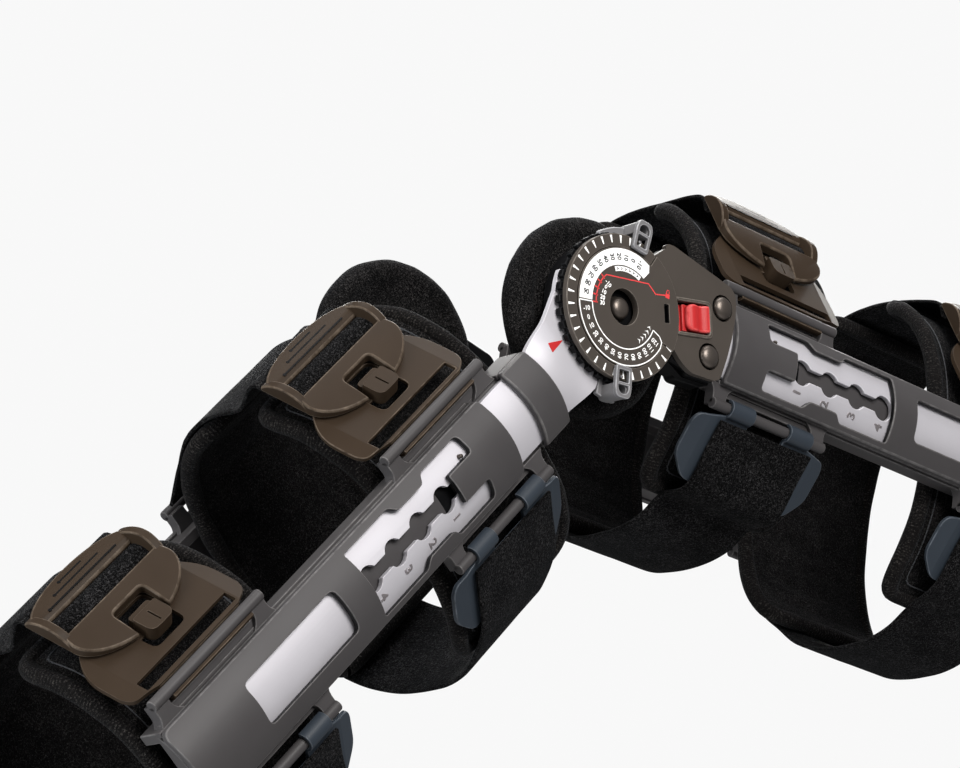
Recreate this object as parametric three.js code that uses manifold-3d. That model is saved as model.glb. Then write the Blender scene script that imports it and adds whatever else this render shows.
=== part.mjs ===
// Hinged knee brace: two dial hinges, telescoping side bars and four strapped cuffs.
// Millimetres, +Z up. Origin: the knee centre, midway between the two hinge axes.
// The thigh lies along -X, +Y is the wearer's left, and the shin is bent about the Y axis.
// A limb's own frame has x along the limb away from the knee, y outwards to the left and
// z to the front, so one set of functions makes both limbs and both sides by mirroring.
import * as THREE from "three";
import { mergeVertices } from "three/addons/utils/BufferGeometryUtils.js";
import Module from "manifold-3d";

const wasm = await Module();
wasm.setup();
const DEG = Math.PI / 180;

// Driving dimensions
const KNEE_FLEXION = 54;
const GAP = 0.4;
const CIRCLE_SIDES = 24;

// Hinge layers, as distances from the mid plane
const DIAL_TOP = 90;
const PLATE_TOP = 89.3;
const COVER_BACK = 86.6;
const RING_TOP = 86.2;
const RING_BACK = 83.2;
const BAR_TOP = 82.6;
const BAR_THICKNESS = 2.6;
const BASE_TOP = 79.6;
const BASE_BACK = 72;
const CONDYLE_BACK = 71.6;
const CONDYLE_FACE = 57;

// Hinge radii
const DIAL_RADIUS = 32;
const RING_RADIUS = 33.2;
const TOOTH = { from: 68, to: 338, step: 10, crest: 5.5, rootFrom: 6, rootTo: 9.5, depth: 2 };
const HEAD_RADIUS = 24;
const LUG_RADIUS = 32.5;
const BASE_RADIUS = 30;
const PIVOT_RECESS = 8;
const PIVOT_SHAFT = 5;
const RIVET_RADIUS = 5;
const RIVET_SHAFT = 2.4;
const CONDYLE_RADIUS = 44;

// Lock slider, on a ray from the dial's centre
const LOCK_ANGLE = 12;
const LOCK_WINDOW = { from: 32.6, to: 50, width: 13.4 };
const LOCK_BUTTON = { from: 36.8, to: 49.5, width: 12.4, top: 91.4 };
const LOCK_SLOT = { from: 23.4, to: 26.2, width: 8.4 };
const LOCK_POCKET = { from: 28, to: 53, width: 14.8, floor: 84 };

// Stop tabs: angle of the loop on the rim, and of the arm's ends at the bar's level
const STOPS = [
  { name: "extension_stop", loop: 83, armFrom: 77, armTo: 111.4 },
  { name: "flexion_stop", loop: 275, armFrom: 265.4, armTo: 281 },
];
const STOP_LOOP = { inner: 26.5, outer: 40.5, width: 9, low: 90.4, high: 92.4 };
const STOP_LEG_INNER = 34;
const STOP_LEG_WIDTH = 7.4;

// Side bars: crowned strips with a row of stop holes
const BAR_HALF_WIDTH = 15.8;
const BAR_CROWN = 4.2;
const CROWN_RATE = BAR_CROWN / BAR_HALF_WIDTH ** 2;
const CROWN_START = { from: 34, to: 50 };
const BAR_END = 285;
const HOLE_RADIUS = 5.75;
const HOLE_PITCH = 17.4;
const HOLE_COUNT = 5;
const HOLE_SLOT = 6;
const FIRST_HOLE = 27;
const TONGUE = { from: 44, to: 67.5, halfWidth: 14.6 };

// Sleeves: mouldings that slide on the bars
const SLEEVE_TOP = 86;
const SLEEVE_BACK = 64;
const SLEEVE_HALF_WIDTH = 18.6;
const SLEEVE_CHANNEL = { halfWidth: 14, roof: 73 };
const ROD = { y: 76, offset: 27.6, radius: 2.5, armLength: 8, armLow: 70.5 };
const LATCH_WINDOW = { from: 21, to: 100.5, halfWidth: 15.4, tongueTip: 38, tongueHalf: 6.8 };
const RAIL_BUMP = { from: 50, to: 67, slope: 3.5, height: 3.6 };
const LOWER_WINDOW = { from: 116, to: 175, halfWidth: 10 };

// Limbs: where the bar runs, where its sleeve starts and ends, and the collar before it
const LIMBS = {
  thigh: { barZ: 9, sleeveFrom: 70, sleeveTo: 302, collar: null },
  shin: { barZ: -2.5, sleeveFrom: 87, sleeveTo: 302, collar: { from: 51.5, to: 69 } },
};

// Cuffs: the pads', rods' and front strap's middles along the limb; the loop's middle and half
// depth front to back; the buckle plate's tilt; how far the pads lean away from the knee in front
const CUFFS = [
  { name: "lower_thigh", pad: 107, rods: 102.5, strap: 108, z: 14, depth: 72, tilt: 56, lean: 4 },
  { name: "upper_thigh", pad: 262, rods: 263, strap: 265, z: 12.5, depth: 79, tilt: 58, lean: 3 },
  { name: "upper_shin", pad: 99, rods: 106.5, strap: 109.5, z: -12.5, depth: 67, tilt: 43, lean: 0 },
  { name: "lower_shin", pad: 259, rods: 261, strap: 263, z: -9, depth: 60, tilt: 42, lean: 0 },
].map((cuff) => ({ ...cuff, limb: cuff.name.split("_")[1] }));
const CUFF_HALF_BREADTH = 57.5;
const LOOP_POWER = 2 / 2.4;
const PAD = { width: 88, thickness: 6, backEnd: -58, frontEnd: 80, stations: 12 };
const PAD_END = { share: 0.12, width: 0.72 };
const STRAP = { width: 56, thickness: 2.2, stations: 14, outside: 7.3, tuck: 1.4 };
const STRAP_ARC = { front: [84, 126], back: [234, 306] };
const ROD_SPAN = 69;
const HOOK = { inner: 2.9, thickness: 1.5, width: 50, turn: 205, shoulder: 3 };
const PLATE = { width: 73, thickness: 2.2, from: 3, to: 42, cornerCut: 13 };
const PLATE_SLOT = { from: 4.8, to: 10.4, width: 56 };
const STUD = { at: 24.5, width: 14, length: 13, height: 7.4 };
const BUCKLE = { from: 21.5, to: 67, shoulder: 38, width: 61, low: 3, thickness: 5.4, crown: 3 };
const BUCKLE_SLOT = { from: 43.5, to: 53.5, edge: 7 };
const BUCKLE_NOTCH = { to: 36, width: 18.6 };
const CLIP = { width: 80, thickness: 2, from: 3, to: 36, cornerCut: 8, tilt: 56 };
const RIGHT_CONDYLE_SHIFT = { x: -3, z: 7 };

// Finishes
const finish = (color, roughness, metalness = 0) =>
  new THREE.MeshStandardMaterial({ color, roughness, metalness });
const FINISH = {
  cover: finish(0x57504b, 0.6),
  black: finish(0x151517, 0.6),
  sleeve: finish(0x565555, 0.55),
  tab: finish(0x9a9a9c, 0.5),
  lock: finish(0xd8393d, 0.4),
  rivet: finish(0x6a665f, 0.3, 0.9),
  bar: finish(0xcfcdd4, 0.35, 0.9),
  plush: finish(0x222120, 0.95),
  strap: finish(0x151414, 0.95),
  buckle: finish(0x665b50, 0.55),
};

// Closed meshes become solids that can be joined and cut, and come back as geometry.
function solidOf(geometry) {
  const bare = geometry.index ? geometry.toNonIndexed() : geometry.clone();
  bare.deleteAttribute("normal");
  bare.deleteAttribute("uv");
  const merged = mergeVertices(bare, 1e-4);
  const vertProperties = new Float32Array(merged.attributes.position.array);
  const triVerts = new Uint32Array(merged.index.array);
  return new wasm.Manifold(new wasm.Mesh({ numProp: 3, vertProperties, triVerts }));
}

function geometryOf(solid) {
  const mesh = solid.getMesh();
  const geometry = new THREE.BufferGeometry();
  geometry.setAttribute("position", new THREE.BufferAttribute(mesh.vertProperties, 3));
  geometry.setIndex(new THREE.BufferAttribute(mesh.triVerts, 1));
  geometry.computeVertexNormals();
  return geometry;
}

function joined(...pieces) {
  return geometryOf(pieces.map(solidOf).reduce((sum, next) => sum.add(next)));
}

function cut(piece, ...tools) {
  return geometryOf(tools.map(solidOf).reduce((rest, tool) => rest.subtract(tool), solidOf(piece)));
}

function common(piece, other) {
  return geometryOf(solidOf(piece).intersect(solidOf(other)));
}

// Turns a closed mesh the right way out if its volume comes out negative.
function facingOut(geometry) {
  const [a, b, c] = [new THREE.Vector3(), new THREE.Vector3(), new THREE.Vector3()];
  const { position } = geometry.attributes;
  const index = geometry.index.array;
  let volume = 0;
  for (let i = 0; i < index.length; i += 3) {
    a.fromBufferAttribute(position, index[i]);
    b.fromBufferAttribute(position, index[i + 1]);
    c.fromBufferAttribute(position, index[i + 2]);
    volume += a.dot(b.cross(c));
  }
  if (volume < 0) {
    for (let i = 0; i < index.length; i += 3) {
      [index[i], index[i + 1]] = [index[i + 1], index[i]];
    }
  }
  return geometry;
}

// A closed solid through rings of points, all of one length, with flat ends.
function loft(rings) {
  const count = rings[0].length;
  const index = [];
  for (let i = 0; i + 1 < rings.length; i += 1) {
    for (let j = 0; j < count; j += 1) {
      const a = i * count + j;
      const b = i * count + ((j + 1) % count);
      index.push(a, b, a + count, b, b + count, a + count);
    }
  }
  for (const start of [0, (rings.length - 1) * count]) {
    for (let j = 0; j + 1 < count / 2; j += 1) {
      const corners = [j, j + 1, count - 2 - j, count - 1 - j].map((k) => start + k);
      const [a, b, c, d] = start ? corners : corners.reverse();
      index.push(a, b, c, a, c, d);
    }
  }
  const geometry = new THREE.BufferGeometry();
  geometry.setAttribute("position", new THREE.Float32BufferAttribute(rings.flat(2), 3));
  geometry.setIndex(index);
  return facingOut(geometry);
}

const polar = (radius, degrees) =>
  new THREE.Vector2(radius * Math.cos(degrees * DEG), radius * Math.sin(degrees * DEG));

// Points along an arc about the hinge axis, about one for every ten degrees.
function arc(radius, from, to) {
  const steps = Math.max(2, Math.ceil(Math.abs(to - from) / 10));
  return Array.from({ length: steps + 1 }, (_, i) => polar(radius, from + ((to - from) * i) / steps));
}

const points = (pairs) => pairs.map(([x, y]) => new THREE.Vector2(x, y));

function circle(radius, x = 0, z = 0, sides = CIRCLE_SIDES) {
  return Array.from({ length: sides }, (_, i) =>
    polar(radius, (360 * i) / sides).add(new THREE.Vector2(x, z)));
}

const rectangle = (x0, x1, z0, z1) => points([[x0, z0], [x1, z0], [x1, z1], [x0, z1]]);

// A flat outline in the limb's x, z plane, with thickness across the hinge.
function plate(outline, low, high, holes = []) {
  const shape = new THREE.Shape(outline);
  shape.holes = holes.map((hole) => new THREE.Path(hole));
  const geometry = new THREE.ExtrudeGeometry(shape, { depth: high - low, bevelEnabled: false });
  return geometry.rotateX(Math.PI / 2).translate(0, high, 0);
}

// A profile across the limb, in z and y, run along the limb.
function beam(profile, from, to, holes = []) {
  const acrossLimb = (list) => list.map((p) => new THREE.Vector2(-p.x, p.y));
  const shape = new THREE.Shape(acrossLimb(profile));
  shape.holes = holes.map((hole) => new THREE.Path(acrossLimb(hole)));
  const geometry = new THREE.ExtrudeGeometry(shape, { depth: to - from, bevelEnabled: false });
  return geometry.rotateY(Math.PI / 2).translate(from, 0, 0);
}

function block(x0, x1, y0, y1, z0, z1) {
  const geometry = new THREE.BoxGeometry(x1 - x0, y1 - y0, z1 - z0);
  return geometry.translate((x0 + x1) / 2, (y0 + y1) / 2, (z0 + z1) / 2);
}

// A turned piece about a line along y.
function turned(profile, sides, x = 0, z = 0) {
  const rings = profile.filter(([radius]) => radius > 0);
  const corners = rings.flatMap(([radius, y]) => circle(radius, 0, 0, sides).map((p) => [p.x, y, p.y]));
  const poles = [[0, profile[0][1], 0], [0, profile.at(-1)[1], 0]];
  const [firstPole, lastPole] = [corners.length, corners.length + 1];
  const index = [];
  for (let k = 0; k < sides; k += 1) {
    const next = (k + 1) % sides;
    for (let i = 0; i + 1 < rings.length; i += 1) {
      const [a, b] = [i * sides + k, i * sides + next];
      index.push(a, b, a + sides, b, b + sides, a + sides);
    }
    const last = (rings.length - 1) * sides;
    index.push(firstPole, next, k, lastPole, last + k, last + next);
  }
  const geometry = new THREE.BufferGeometry();
  geometry.setAttribute("position", new THREE.Float32BufferAttribute([...corners, ...poles].flat(), 3));
  geometry.setIndex(index);
  return facingOut(geometry).translate(x, 0, z);
}

// Hinge: the outline of the cover's plate towards the thigh, as short straight runs
const PLATE_EDGE = points([[30.8, -8.6], [36.5, -13.2], [42.5, -16], [57, -14.9], [59.6, -13],
  [62.6, -1], [64.4, 12], [64.3, 22], [62.8, 27.2], [60, 29.6], [24, 36.8], [19.6, 36.2], [14.2, 28.7]]);
const FRONT_RIVET = { x: 56.2, z: 18.6 };
const BACK_RIVET = { x: 51.5, z: -5.4 };
const along = (list, degrees) => list.map((p) => p.clone().rotateAround(new THREE.Vector2(), degrees * DEG));

function hingeCover() {
  const { from, to, width } = LOCK_WINDOW;
  const lockWindow = rectangle(from, to, -width / 2, width / 2);
  const dial = plate(circle(DIAL_RADIUS, 0, 0, 36), COVER_BACK, DIAL_TOP);
  const arm = plate([...PLATE_EDGE, polar(DIAL_RADIUS - 6, 40)], COVER_BACK, PLATE_TOP);
  const slot = rectangle(LOCK_SLOT.from, LOCK_SLOT.to, -LOCK_SLOT.width / 2, LOCK_SLOT.width / 2);
  const through = [COVER_BACK - 1, DIAL_TOP + 1];
  return cut(
    joined(dial, arm),
    plate(circle(PIVOT_RECESS, 0, 0, 18), ...through),
    plate(along(lockWindow, LOCK_ANGLE), ...through),
    plate(along(slot, LOCK_ANGLE), ...through),
    plate(circle(RIVET_SHAFT + GAP, FRONT_RIVET.x, FRONT_RIVET.z, 10), ...through),
    plate(circle(RIVET_SHAFT + GAP, BACK_RIVET.x, BACK_RIVET.z, 10), ...through),
  );
}

// Square teeth round the open side of the dial, plain under the cover's plate
function toothedRing() {
  const { from, to, step, crest, rootFrom, rootTo, depth } = TOOTH;
  const root = RING_RADIUS - depth;
  const outline = [];
  for (let a = from; a < to; a += step) {
    outline.push(polar(RING_RADIUS, a), polar(RING_RADIUS, a + crest));
    outline.push(polar(root, a + rootFrom), polar(root, a + rootTo));
  }
  outline.push(...arc(root, to + step, from + 348));
  return plate(outline, RING_BACK, RING_TOP, [circle(PIVOT_RECESS + 1, 0, 0, 10)]);
}

// Back disc behind the pivot, and the block that the thigh bar's tongue is riveted into
function hingeBase() {
  const blockEdge = [
    ...points([[42.5, -17], [58.5, -15.8], [63.2, 0], [64.4, 12], [63.8, 25], [60.5, 28.8], [23, 36]]),
    ...arc(LUG_RADIUS + 2.2, 58, -20),
  ];
  const disc = plate(circle(BASE_RADIUS), BASE_BACK, BASE_TOP);
  const body = plate(blockEdge, BASE_BACK, RING_TOP);
  const web = plate(rectangle(20, 40, -9, 26), BASE_BACK, BASE_TOP);
  const { barZ } = LIMBS.thigh;
  const room = TONGUE.halfWidth + GAP;
  const level = [BAR_TOP - BAR_THICKNESS - GAP, BAR_TOP + GAP];
  const socket = block(TONGUE.from - GAP, TONGUE.to + GAP, ...level, barZ - room, barZ + room);
  const pocket = rectangle(LOCK_POCKET.from, LOCK_POCKET.to, -LOCK_POCKET.width / 2, LOCK_POCKET.width / 2);
  const through = [BASE_BACK - 1, RING_TOP + 1];
  return cut(
    joined(disc, body, web),
    socket,
    plate(along(pocket, LOCK_ANGLE), LOCK_POCKET.floor, RING_TOP + 1),
    plate(circle(PIVOT_SHAFT + GAP, 0, 0, 16), ...through),
    plate(circle(RIVET_SHAFT + GAP, FRONT_RIVET.x, FRONT_RIVET.z, 10), ...through),
    plate(circle(RIVET_SHAFT + GAP, BACK_RIVET.x, BACK_RIVET.z, 10), ...through),
  );
}

// A foot that runs under the cover, and the scooped button that stands through its window
function lockSlider() {
  const { from, to, width, top } = LOCK_BUTTON;
  const half = width / 2;
  const foot = plate(rectangle(from - 1.4, to + 2.5, -half, half), LOCK_POCKET.floor + GAP, RING_TOP);
  const button = points([[from, RING_TOP - 0.5], [to, RING_TOP - 0.5], [to, top], [to - 3, top - 0.4],
    [to - 6, top - 1.1], [to - 9, top - 0.6], [from + 1.2, top], [from, top - 1.2]]);
  const shape = new THREE.Shape(button);
  const body = new THREE.ExtrudeGeometry(shape, { depth: width, bevelEnabled: false });
  return joined(foot, body.translate(0, 0, -half)).rotateY(-LOCK_ANGLE * DEG);
}

// A loop with a finger window on the rim, a leg down the outside and an arm that meets the bar
function stopTab({ loop, armFrom, armTo }) {
  const half = STOP_LOOP.width / 2;
  const { inner, outer, low, high } = STOP_LOOP;
  const outline = points([[inner, -half], [outer - 3, -half], [outer, -half + 3], [outer, half - 3],
    [outer - 3, half], [inner, half]]);
  const fingerWindow = rectangle(inner + 1.6, inner + 7, -half + 1.7, half - 1.7);
  const eye = points([[inner + 8.4, -2.8], [outer - 2.8, -2.4], [outer - 1.6, 0],
    [outer - 2.8, 2.4], [inner + 8.4, 2.8]]);
  const barBack = BAR_TOP - BAR_THICKNESS;
  const legHalf = STOP_LEG_WIDTH / 2;
  const leg = block(STOP_LEG_INNER, outer, barBack, low + 0.5, -legHalf, legHalf);
  const finger = joined(plate(outline, low, high, [fingerWindow, eye]), leg).rotateY(-loop * DEG);
  const armOutline = [...arc(outer, armFrom, armTo), ...arc(HEAD_RADIUS + 4, armTo, armFrom)];
  return joined(finger, plate(armOutline, barBack, BAR_TOP));
}

function pivotRivet() {
  return turned([[0, BASE_BACK + 1], [PIVOT_SHAFT, BASE_BACK + 1], [PIVOT_SHAFT, BAR_TOP + GAP],
    [7.4, BAR_TOP + GAP], [7.4, 84.4], [4.9, 84.6], [4.7, 87.4], [3.6, 88.6], [0, 89.2]], 10);
}

function plateRivet({ x, z }) {
  return turned([[0, BASE_BACK + 1], [RIVET_SHAFT, BASE_BACK + 1], [RIVET_SHAFT, PLATE_TOP + 0.3],
    [RIVET_RADIUS, PLATE_TOP + 0.3], [3.8, PLATE_TOP + 1.7], [0, PLATE_TOP + 2.4]], 10, x, z);
}

// Plush disc with a rolled rim; the right one is pressed on a little off the hinge's centre
function condylePad(side) {
  const [low, high, edge] = [CONDYLE_FACE, CONDYLE_BACK, CONDYLE_RADIUS];
  const { x, z } = side === "right" ? RIGHT_CONDYLE_SHIFT : { x: 0, z: 0 };
  return turned([[0, low + 2.5], [edge - 13, low + 2.5], [edge - 6, low], [edge - 1.5, low + 3],
    [edge, (low + high) / 2], [edge - 1.5, high - 3], [edge - 6, high], [0, high]], 20, x, z);
}

// Bars: a strip whose section is crowned by rate, through stations along the limb
function crownedStrip(stations, barZ) {
  const across = 4;
  return loft(stations.map(({ u, zLow, zHigh, rate }) => {
    const row = Array.from({ length: across + 1 }, (_, i) => zLow + ((zHigh - zLow) * i) / across);
    const top = row.map((z) => [u, BAR_TOP - rate * (z - barZ) ** 2, z]);
    const back = row.map((z) => [u, BAR_TOP - BAR_THICKNESS - rate * (z - barZ) ** 2, z]);
    return [...top, ...back.reverse()];
  }));
}

// Row of round holes joined by a narrower slot
function scallopedSlot(first, barZ) {
  const depth = [BAR_TOP - BAR_CROWN - BAR_THICKNESS, BAR_TOP + 1];
  const last = first + HOLE_PITCH * (HOLE_COUNT - 1);
  const holes = Array.from({ length: HOLE_COUNT }, (_, i) =>
    plate(circle(HOLE_RADIUS, first + HOLE_PITCH * i, barZ, 12), ...depth));
  return [plate(rectangle(first, last, barZ - HOLE_SLOT / 2, barZ + HOLE_SLOT / 2), ...depth), ...holes];
}

function shinBar() {
  const { barZ, sleeveFrom } = LIMBS.shin;
  const [zLow, zHigh] = [barZ - BAR_HALF_WIDTH, barZ + BAR_HALF_WIDTH];
  const flare = { u: 20.4, z: 25.3 };
  const neck = 51.5;
  const edgeAt = (u) => Math.max(zHigh, flare.z + ((zHigh - flare.z) * (u - flare.u)) / (neck - flare.u));
  const { from: crownFrom, to: crownTo } = CROWN_START;
  const headOutline = [
    ...arc(HEAD_RADIUS, 68, 331),
    ...points([[27, -13], [27.8, -15.5], [29.5, -17.4], [32, zLow], [crownFrom + 3, zLow]]),
    ...points([[crownFrom + 3, edgeAt(crownFrom + 3)]]),
    ...arc(LUG_RADIUS, 51.2, 68),
  ];
  const head = plate(headOutline, BAR_TOP - BAR_THICKNESS, BAR_TOP);
  const stations = [crownFrom, crownFrom + 5, crownFrom + 10, crownTo].map((u) => {
    const rise = (u - crownFrom) / (crownTo - crownFrom);
    return { u, zLow, zHigh: edgeAt(u), rate: CROWN_RATE * rise * rise * (3 - 2 * rise) };
  });
  stations.push(...[neck, BAR_END].map((u) => ({ u, zLow, zHigh, rate: CROWN_RATE })));
  return cut(
    joined(head, crownedStrip(stations, barZ)),
    plate(circle(PIVOT_SHAFT + GAP, 0, 0, 16), BASE_TOP, BAR_TOP + 1),
    ...scallopedSlot(sleeveFrom + FIRST_HOLE, barZ),
  );
}

function thighBar() {
  const { barZ, sleeveFrom } = LIMBS.thigh;
  const [zLow, zHigh] = [barZ - BAR_HALF_WIDTH, barZ + BAR_HALF_WIDTH];
  const stations = [TONGUE.to - 1.5, BAR_END].map((u) => ({ u, zLow, zHigh, rate: CROWN_RATE }));
  const tongueSides = [barZ - TONGUE.halfWidth, barZ + TONGUE.halfWidth];
  const tongue = plate(rectangle(TONGUE.from, TONGUE.to, ...tongueSides), BAR_TOP - BAR_THICKNESS, BAR_TOP);
  const through = [BAR_TOP - BAR_CROWN - BAR_THICKNESS, BAR_TOP + 1];
  return cut(
    joined(tongue, crownedStrip(stations, barZ)),
    plate(circle(RIVET_SHAFT + GAP, FRONT_RIVET.x, FRONT_RIVET.z, 10), ...through),
    plate(circle(RIVET_SHAFT + GAP, BACK_RIVET.x, BACK_RIVET.z, 10), ...through),
    ...scallopedSlot(sleeveFrom + FIRST_HOLE, barZ),
  );
}

// Sleeves
function crownLine(top, halfWidth, steps) {
  return Array.from({ length: steps + 1 }, (_, i) => {
    const z = -halfWidth + (2 * halfWidth * i) / steps;
    return new THREE.Vector2(z, top - CROWN_RATE * z * z);
  });
}

// Rods that the strap plates hook on, each on two arms from the sleeve's sides
function strapRods(middle) {
  const [from, to] = [middle - ROD_SPAN / 2, middle + ROD_SPAN / 2];
  const pieces = [];
  for (const side of [-1, 1]) {
    const rod = new THREE.CylinderGeometry(ROD.radius, ROD.radius, to - from, 6);
    pieces.push(rod.rotateZ(Math.PI / 2).translate(middle, ROD.y, side * ROD.offset));
    for (const start of [from, to - ROD.armLength]) {
      const [near, far] = [side * (SLEEVE_HALF_WIDTH - 1), side * ROD.offset];
      const ends = [Math.min(near, far), Math.max(near, far)];
      pieces.push(block(start, start + ROD.armLength, ROD.armLow, ROD.y + 1, ...ends));
    }
  }
  return pieces;
}

// The window over the stop holes: a tongue stands in its near end and a bump in each side
function latchWindow(start) {
  const { from, to, halfWidth, tongueTip, tongueHalf } = LATCH_WINDOW;
  const { from: b0, to: b1, slope, height } = RAIL_BUMP;
  const half = [[from, halfWidth], [b0 - slope, halfWidth], [b0, halfWidth - height],
    [b1, halfWidth - height], [b1 + slope, halfWidth], [to, halfWidth]];
  const lower = half.map(([u, z]) => [u, -z]).reverse();
  const tongue = [[from, -tongueHalf], [tongueTip, -tongueHalf], [tongueTip, tongueHalf], [from, tongueHalf]];
  return points([...half, ...lower, ...tongue].map(([u, z]) => [u + start, z]));
}

function sleeve({ barZ, sleeveFrom, sleeveTo, collar }, middles) {
  const start = collar ? collar.from : sleeveFrom;
  const sides = SLEEVE_HALF_WIDTH;
  const { halfWidth: channel, roof } = SLEEVE_CHANNEL;
  const profile = [
    ...crownLine(SLEEVE_TOP, sides, 4),
    ...points([[sides, SLEEVE_BACK], [channel, SLEEVE_BACK], [channel, roof],
      [-channel, roof], [-channel, SLEEVE_BACK], [-sides, SLEEVE_BACK]]),
  ];
  const barRoom = BAR_HALF_WIDTH + GAP;
  const passage = [
    ...crownLine(BAR_TOP + GAP, barRoom, 4),
    ...crownLine(BAR_TOP - BAR_THICKNESS - GAP, barRoom, 4).reverse(),
  ];
  const above = [BAR_TOP - BAR_THICKNESS - BAR_CROWN, SLEEVE_TOP + 1];
  const { from, to, halfWidth } = LOWER_WINDOW;
  const tools = [
    plate(latchWindow(sleeveFrom), ...above),
    plate(rectangle(sleeveFrom + from, sleeveFrom + to, -halfWidth, halfWidth), ...above),
  ];
  if (collar) {
    const openLow = BAR_TOP - BAR_THICKNESS - BAR_CROWN - 1;
    tools.push(block(collar.to, sleeveFrom, openLow, SLEEVE_TOP + 1, -sides - 1, sides + 1));
  }
  const tube = beam(profile, start, sleeveTo, [passage]);
  const whole = joined(cut(tube, ...tools), ...middles.flatMap(strapRods));
  return whole.translate(0, 0, barZ);
}

// Cuffs: a loop round the limb, as a fuller oval, at a distance outside the limb's surface
function loopPoint({ z, depth }, degrees, outside) {
  const fuller = (value) => Math.sign(value) * Math.abs(value) ** LOOP_POWER;
  return new THREE.Vector2(
    (CUFF_HALF_BREADTH + outside) * fuller(Math.cos(degrees * DEG)),
    z + (depth + outside) * fuller(Math.sin(degrees * DEG)),
  );
}

function loopArc(cuff, from, to, outside, steps) {
  return Array.from({ length: steps + 1 }, (_, i) =>
    loopPoint(cuff, from + ((to - from) * i) / steps, outside));
}

// A band outside a path in y and z; middle and width say where its edges are along the limb
function band(path, thickness, stations, middle, width) {
  const spine = new THREE.SplineCurve(path);
  return loft(Array.from({ length: stations + 1 }, (_, i) => {
    const t = i / stations;
    const at = spine.getPointAt(t);
    const tangent = spine.getTangentAt(t);
    const normal = new THREE.Vector2(tangent.y, -tangent.x);
    const out = at.clone().addScaledVector(normal, thickness);
    const [low, high] = [middle(at) - width(t) / 2, middle(at) + width(t) / 2];
    return [[low, at.x, at.y], [high, at.x, at.y], [high, out.x, out.y], [low, out.x, out.y]];
  }));
}

// Panel whose two ends are rounded in plan
function sidePad(cuff) {
  const path = loopArc(cuff, PAD.frontEnd, PAD.backEnd, 0, 24).reverse();
  const width = (t) => {
    const near = Math.min(1, Math.min(t, 1 - t) / PAD_END.share);
    return PAD.width * (PAD_END.width + (1 - PAD_END.width) * Math.sqrt(1 - (1 - near) ** 2));
  };
  const middle = (at) => cuff.pad + (cuff.lean * (at.y - cuff.z)) / cuff.depth;
  return band(path, PAD.thickness, PAD.stations, middle, width);
}

// The straight line on which a buckle plate or a clip leaves its rod, as a point and a direction
function rodLine({ limb, tilt }, front) {
  const side = front ? 1 : -1;
  const slope = (front ? tilt : CLIP.tilt) * DEG;
  const start = new THREE.Vector2(ROD.y, LIMBS[limb].barZ + side * ROD.offset);
  const direction = new THREE.Vector2(-Math.cos(slope), side * Math.sin(slope));
  const normal = new THREE.Vector2(Math.sin(slope), side * Math.cos(slope));
  const at = (s, out) => start.clone().addScaledVector(direction, s).addScaledVector(normal, out);
  return { start, direction, normal, at };
}

// A piece made with x along the limb, y outwards and z along a rod's line, set on that line
function onLine(geometry, cuff, middle, front) {
  const { start, direction, normal } = rodLine(cuff, front);
  const basis = new THREE.Matrix4().makeBasis(
    new THREE.Vector3(front ? 1 : -1, 0, 0),
    new THREE.Vector3(0, normal.x, normal.y),
    new THREE.Vector3(0, direction.x, direction.y),
  );
  basis.setPosition(middle, start.x, start.y);
  return geometry.applyMatrix4(basis);
}

// The end of a plate that curls round its rod, over it from the plate's face or under it from inside the plate
function rodHook(over) {
  const steps = 5;
  const start = over ? 0 : 20;
  const turn = over ? HOOK.turn : -HOOK.turn;
  const curl = (radius) =>
    Array.from({ length: steps + 1 }, (_, i) => polar(radius, start + (turn * i) / steps));
  const outer = curl(HOOK.inner + HOOK.thickness);
  return beam([...outer, ...curl(HOOK.inner).reverse()], -HOOK.width / 2, HOOK.width / 2);
}

// Plate outline from the hook's width out to its own, with the far corners cut off
function hookedOutline({ width, from, to, cornerCut }, middle) {
  const hook = HOOK.width / 2;
  const shoulder = from + HOOK.shoulder;
  const [low, high] = [middle - width / 2, middle + width / 2];
  return points([[-hook, from], [hook, from], [high, shoulder], [high, to - cornerCut], [high - cornerCut, to],
    [low + cornerCut, to], [low, to - cornerCut], [low, shoulder]]);
}

// Plate with a strap slot, hooked on the front rod, and the stud that the buckle snaps on
function bucklePlate(cuff) {
  const { thickness } = PLATE;
  const middle = cuff.strap - cuff.rods;
  const slotHalf = PLATE_SLOT.width / 2;
  const slot = rectangle(middle - slotHalf, middle + slotHalf, PLATE_SLOT.from, PLATE_SLOT.to);
  const flat = plate(hookedOutline(PLATE, middle), 0, thickness, [slot]);
  const [studHalf, studLength] = [STUD.width / 2, STUD.length / 2];
  const stud = block(middle - studHalf, middle + studHalf, thickness - 0.5, STUD.height,
    STUD.at - studLength, STUD.at + studLength);
  return onLine(joined(flat, rodHook(false), stud), cuff, cuff.rods, true);
}

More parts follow.
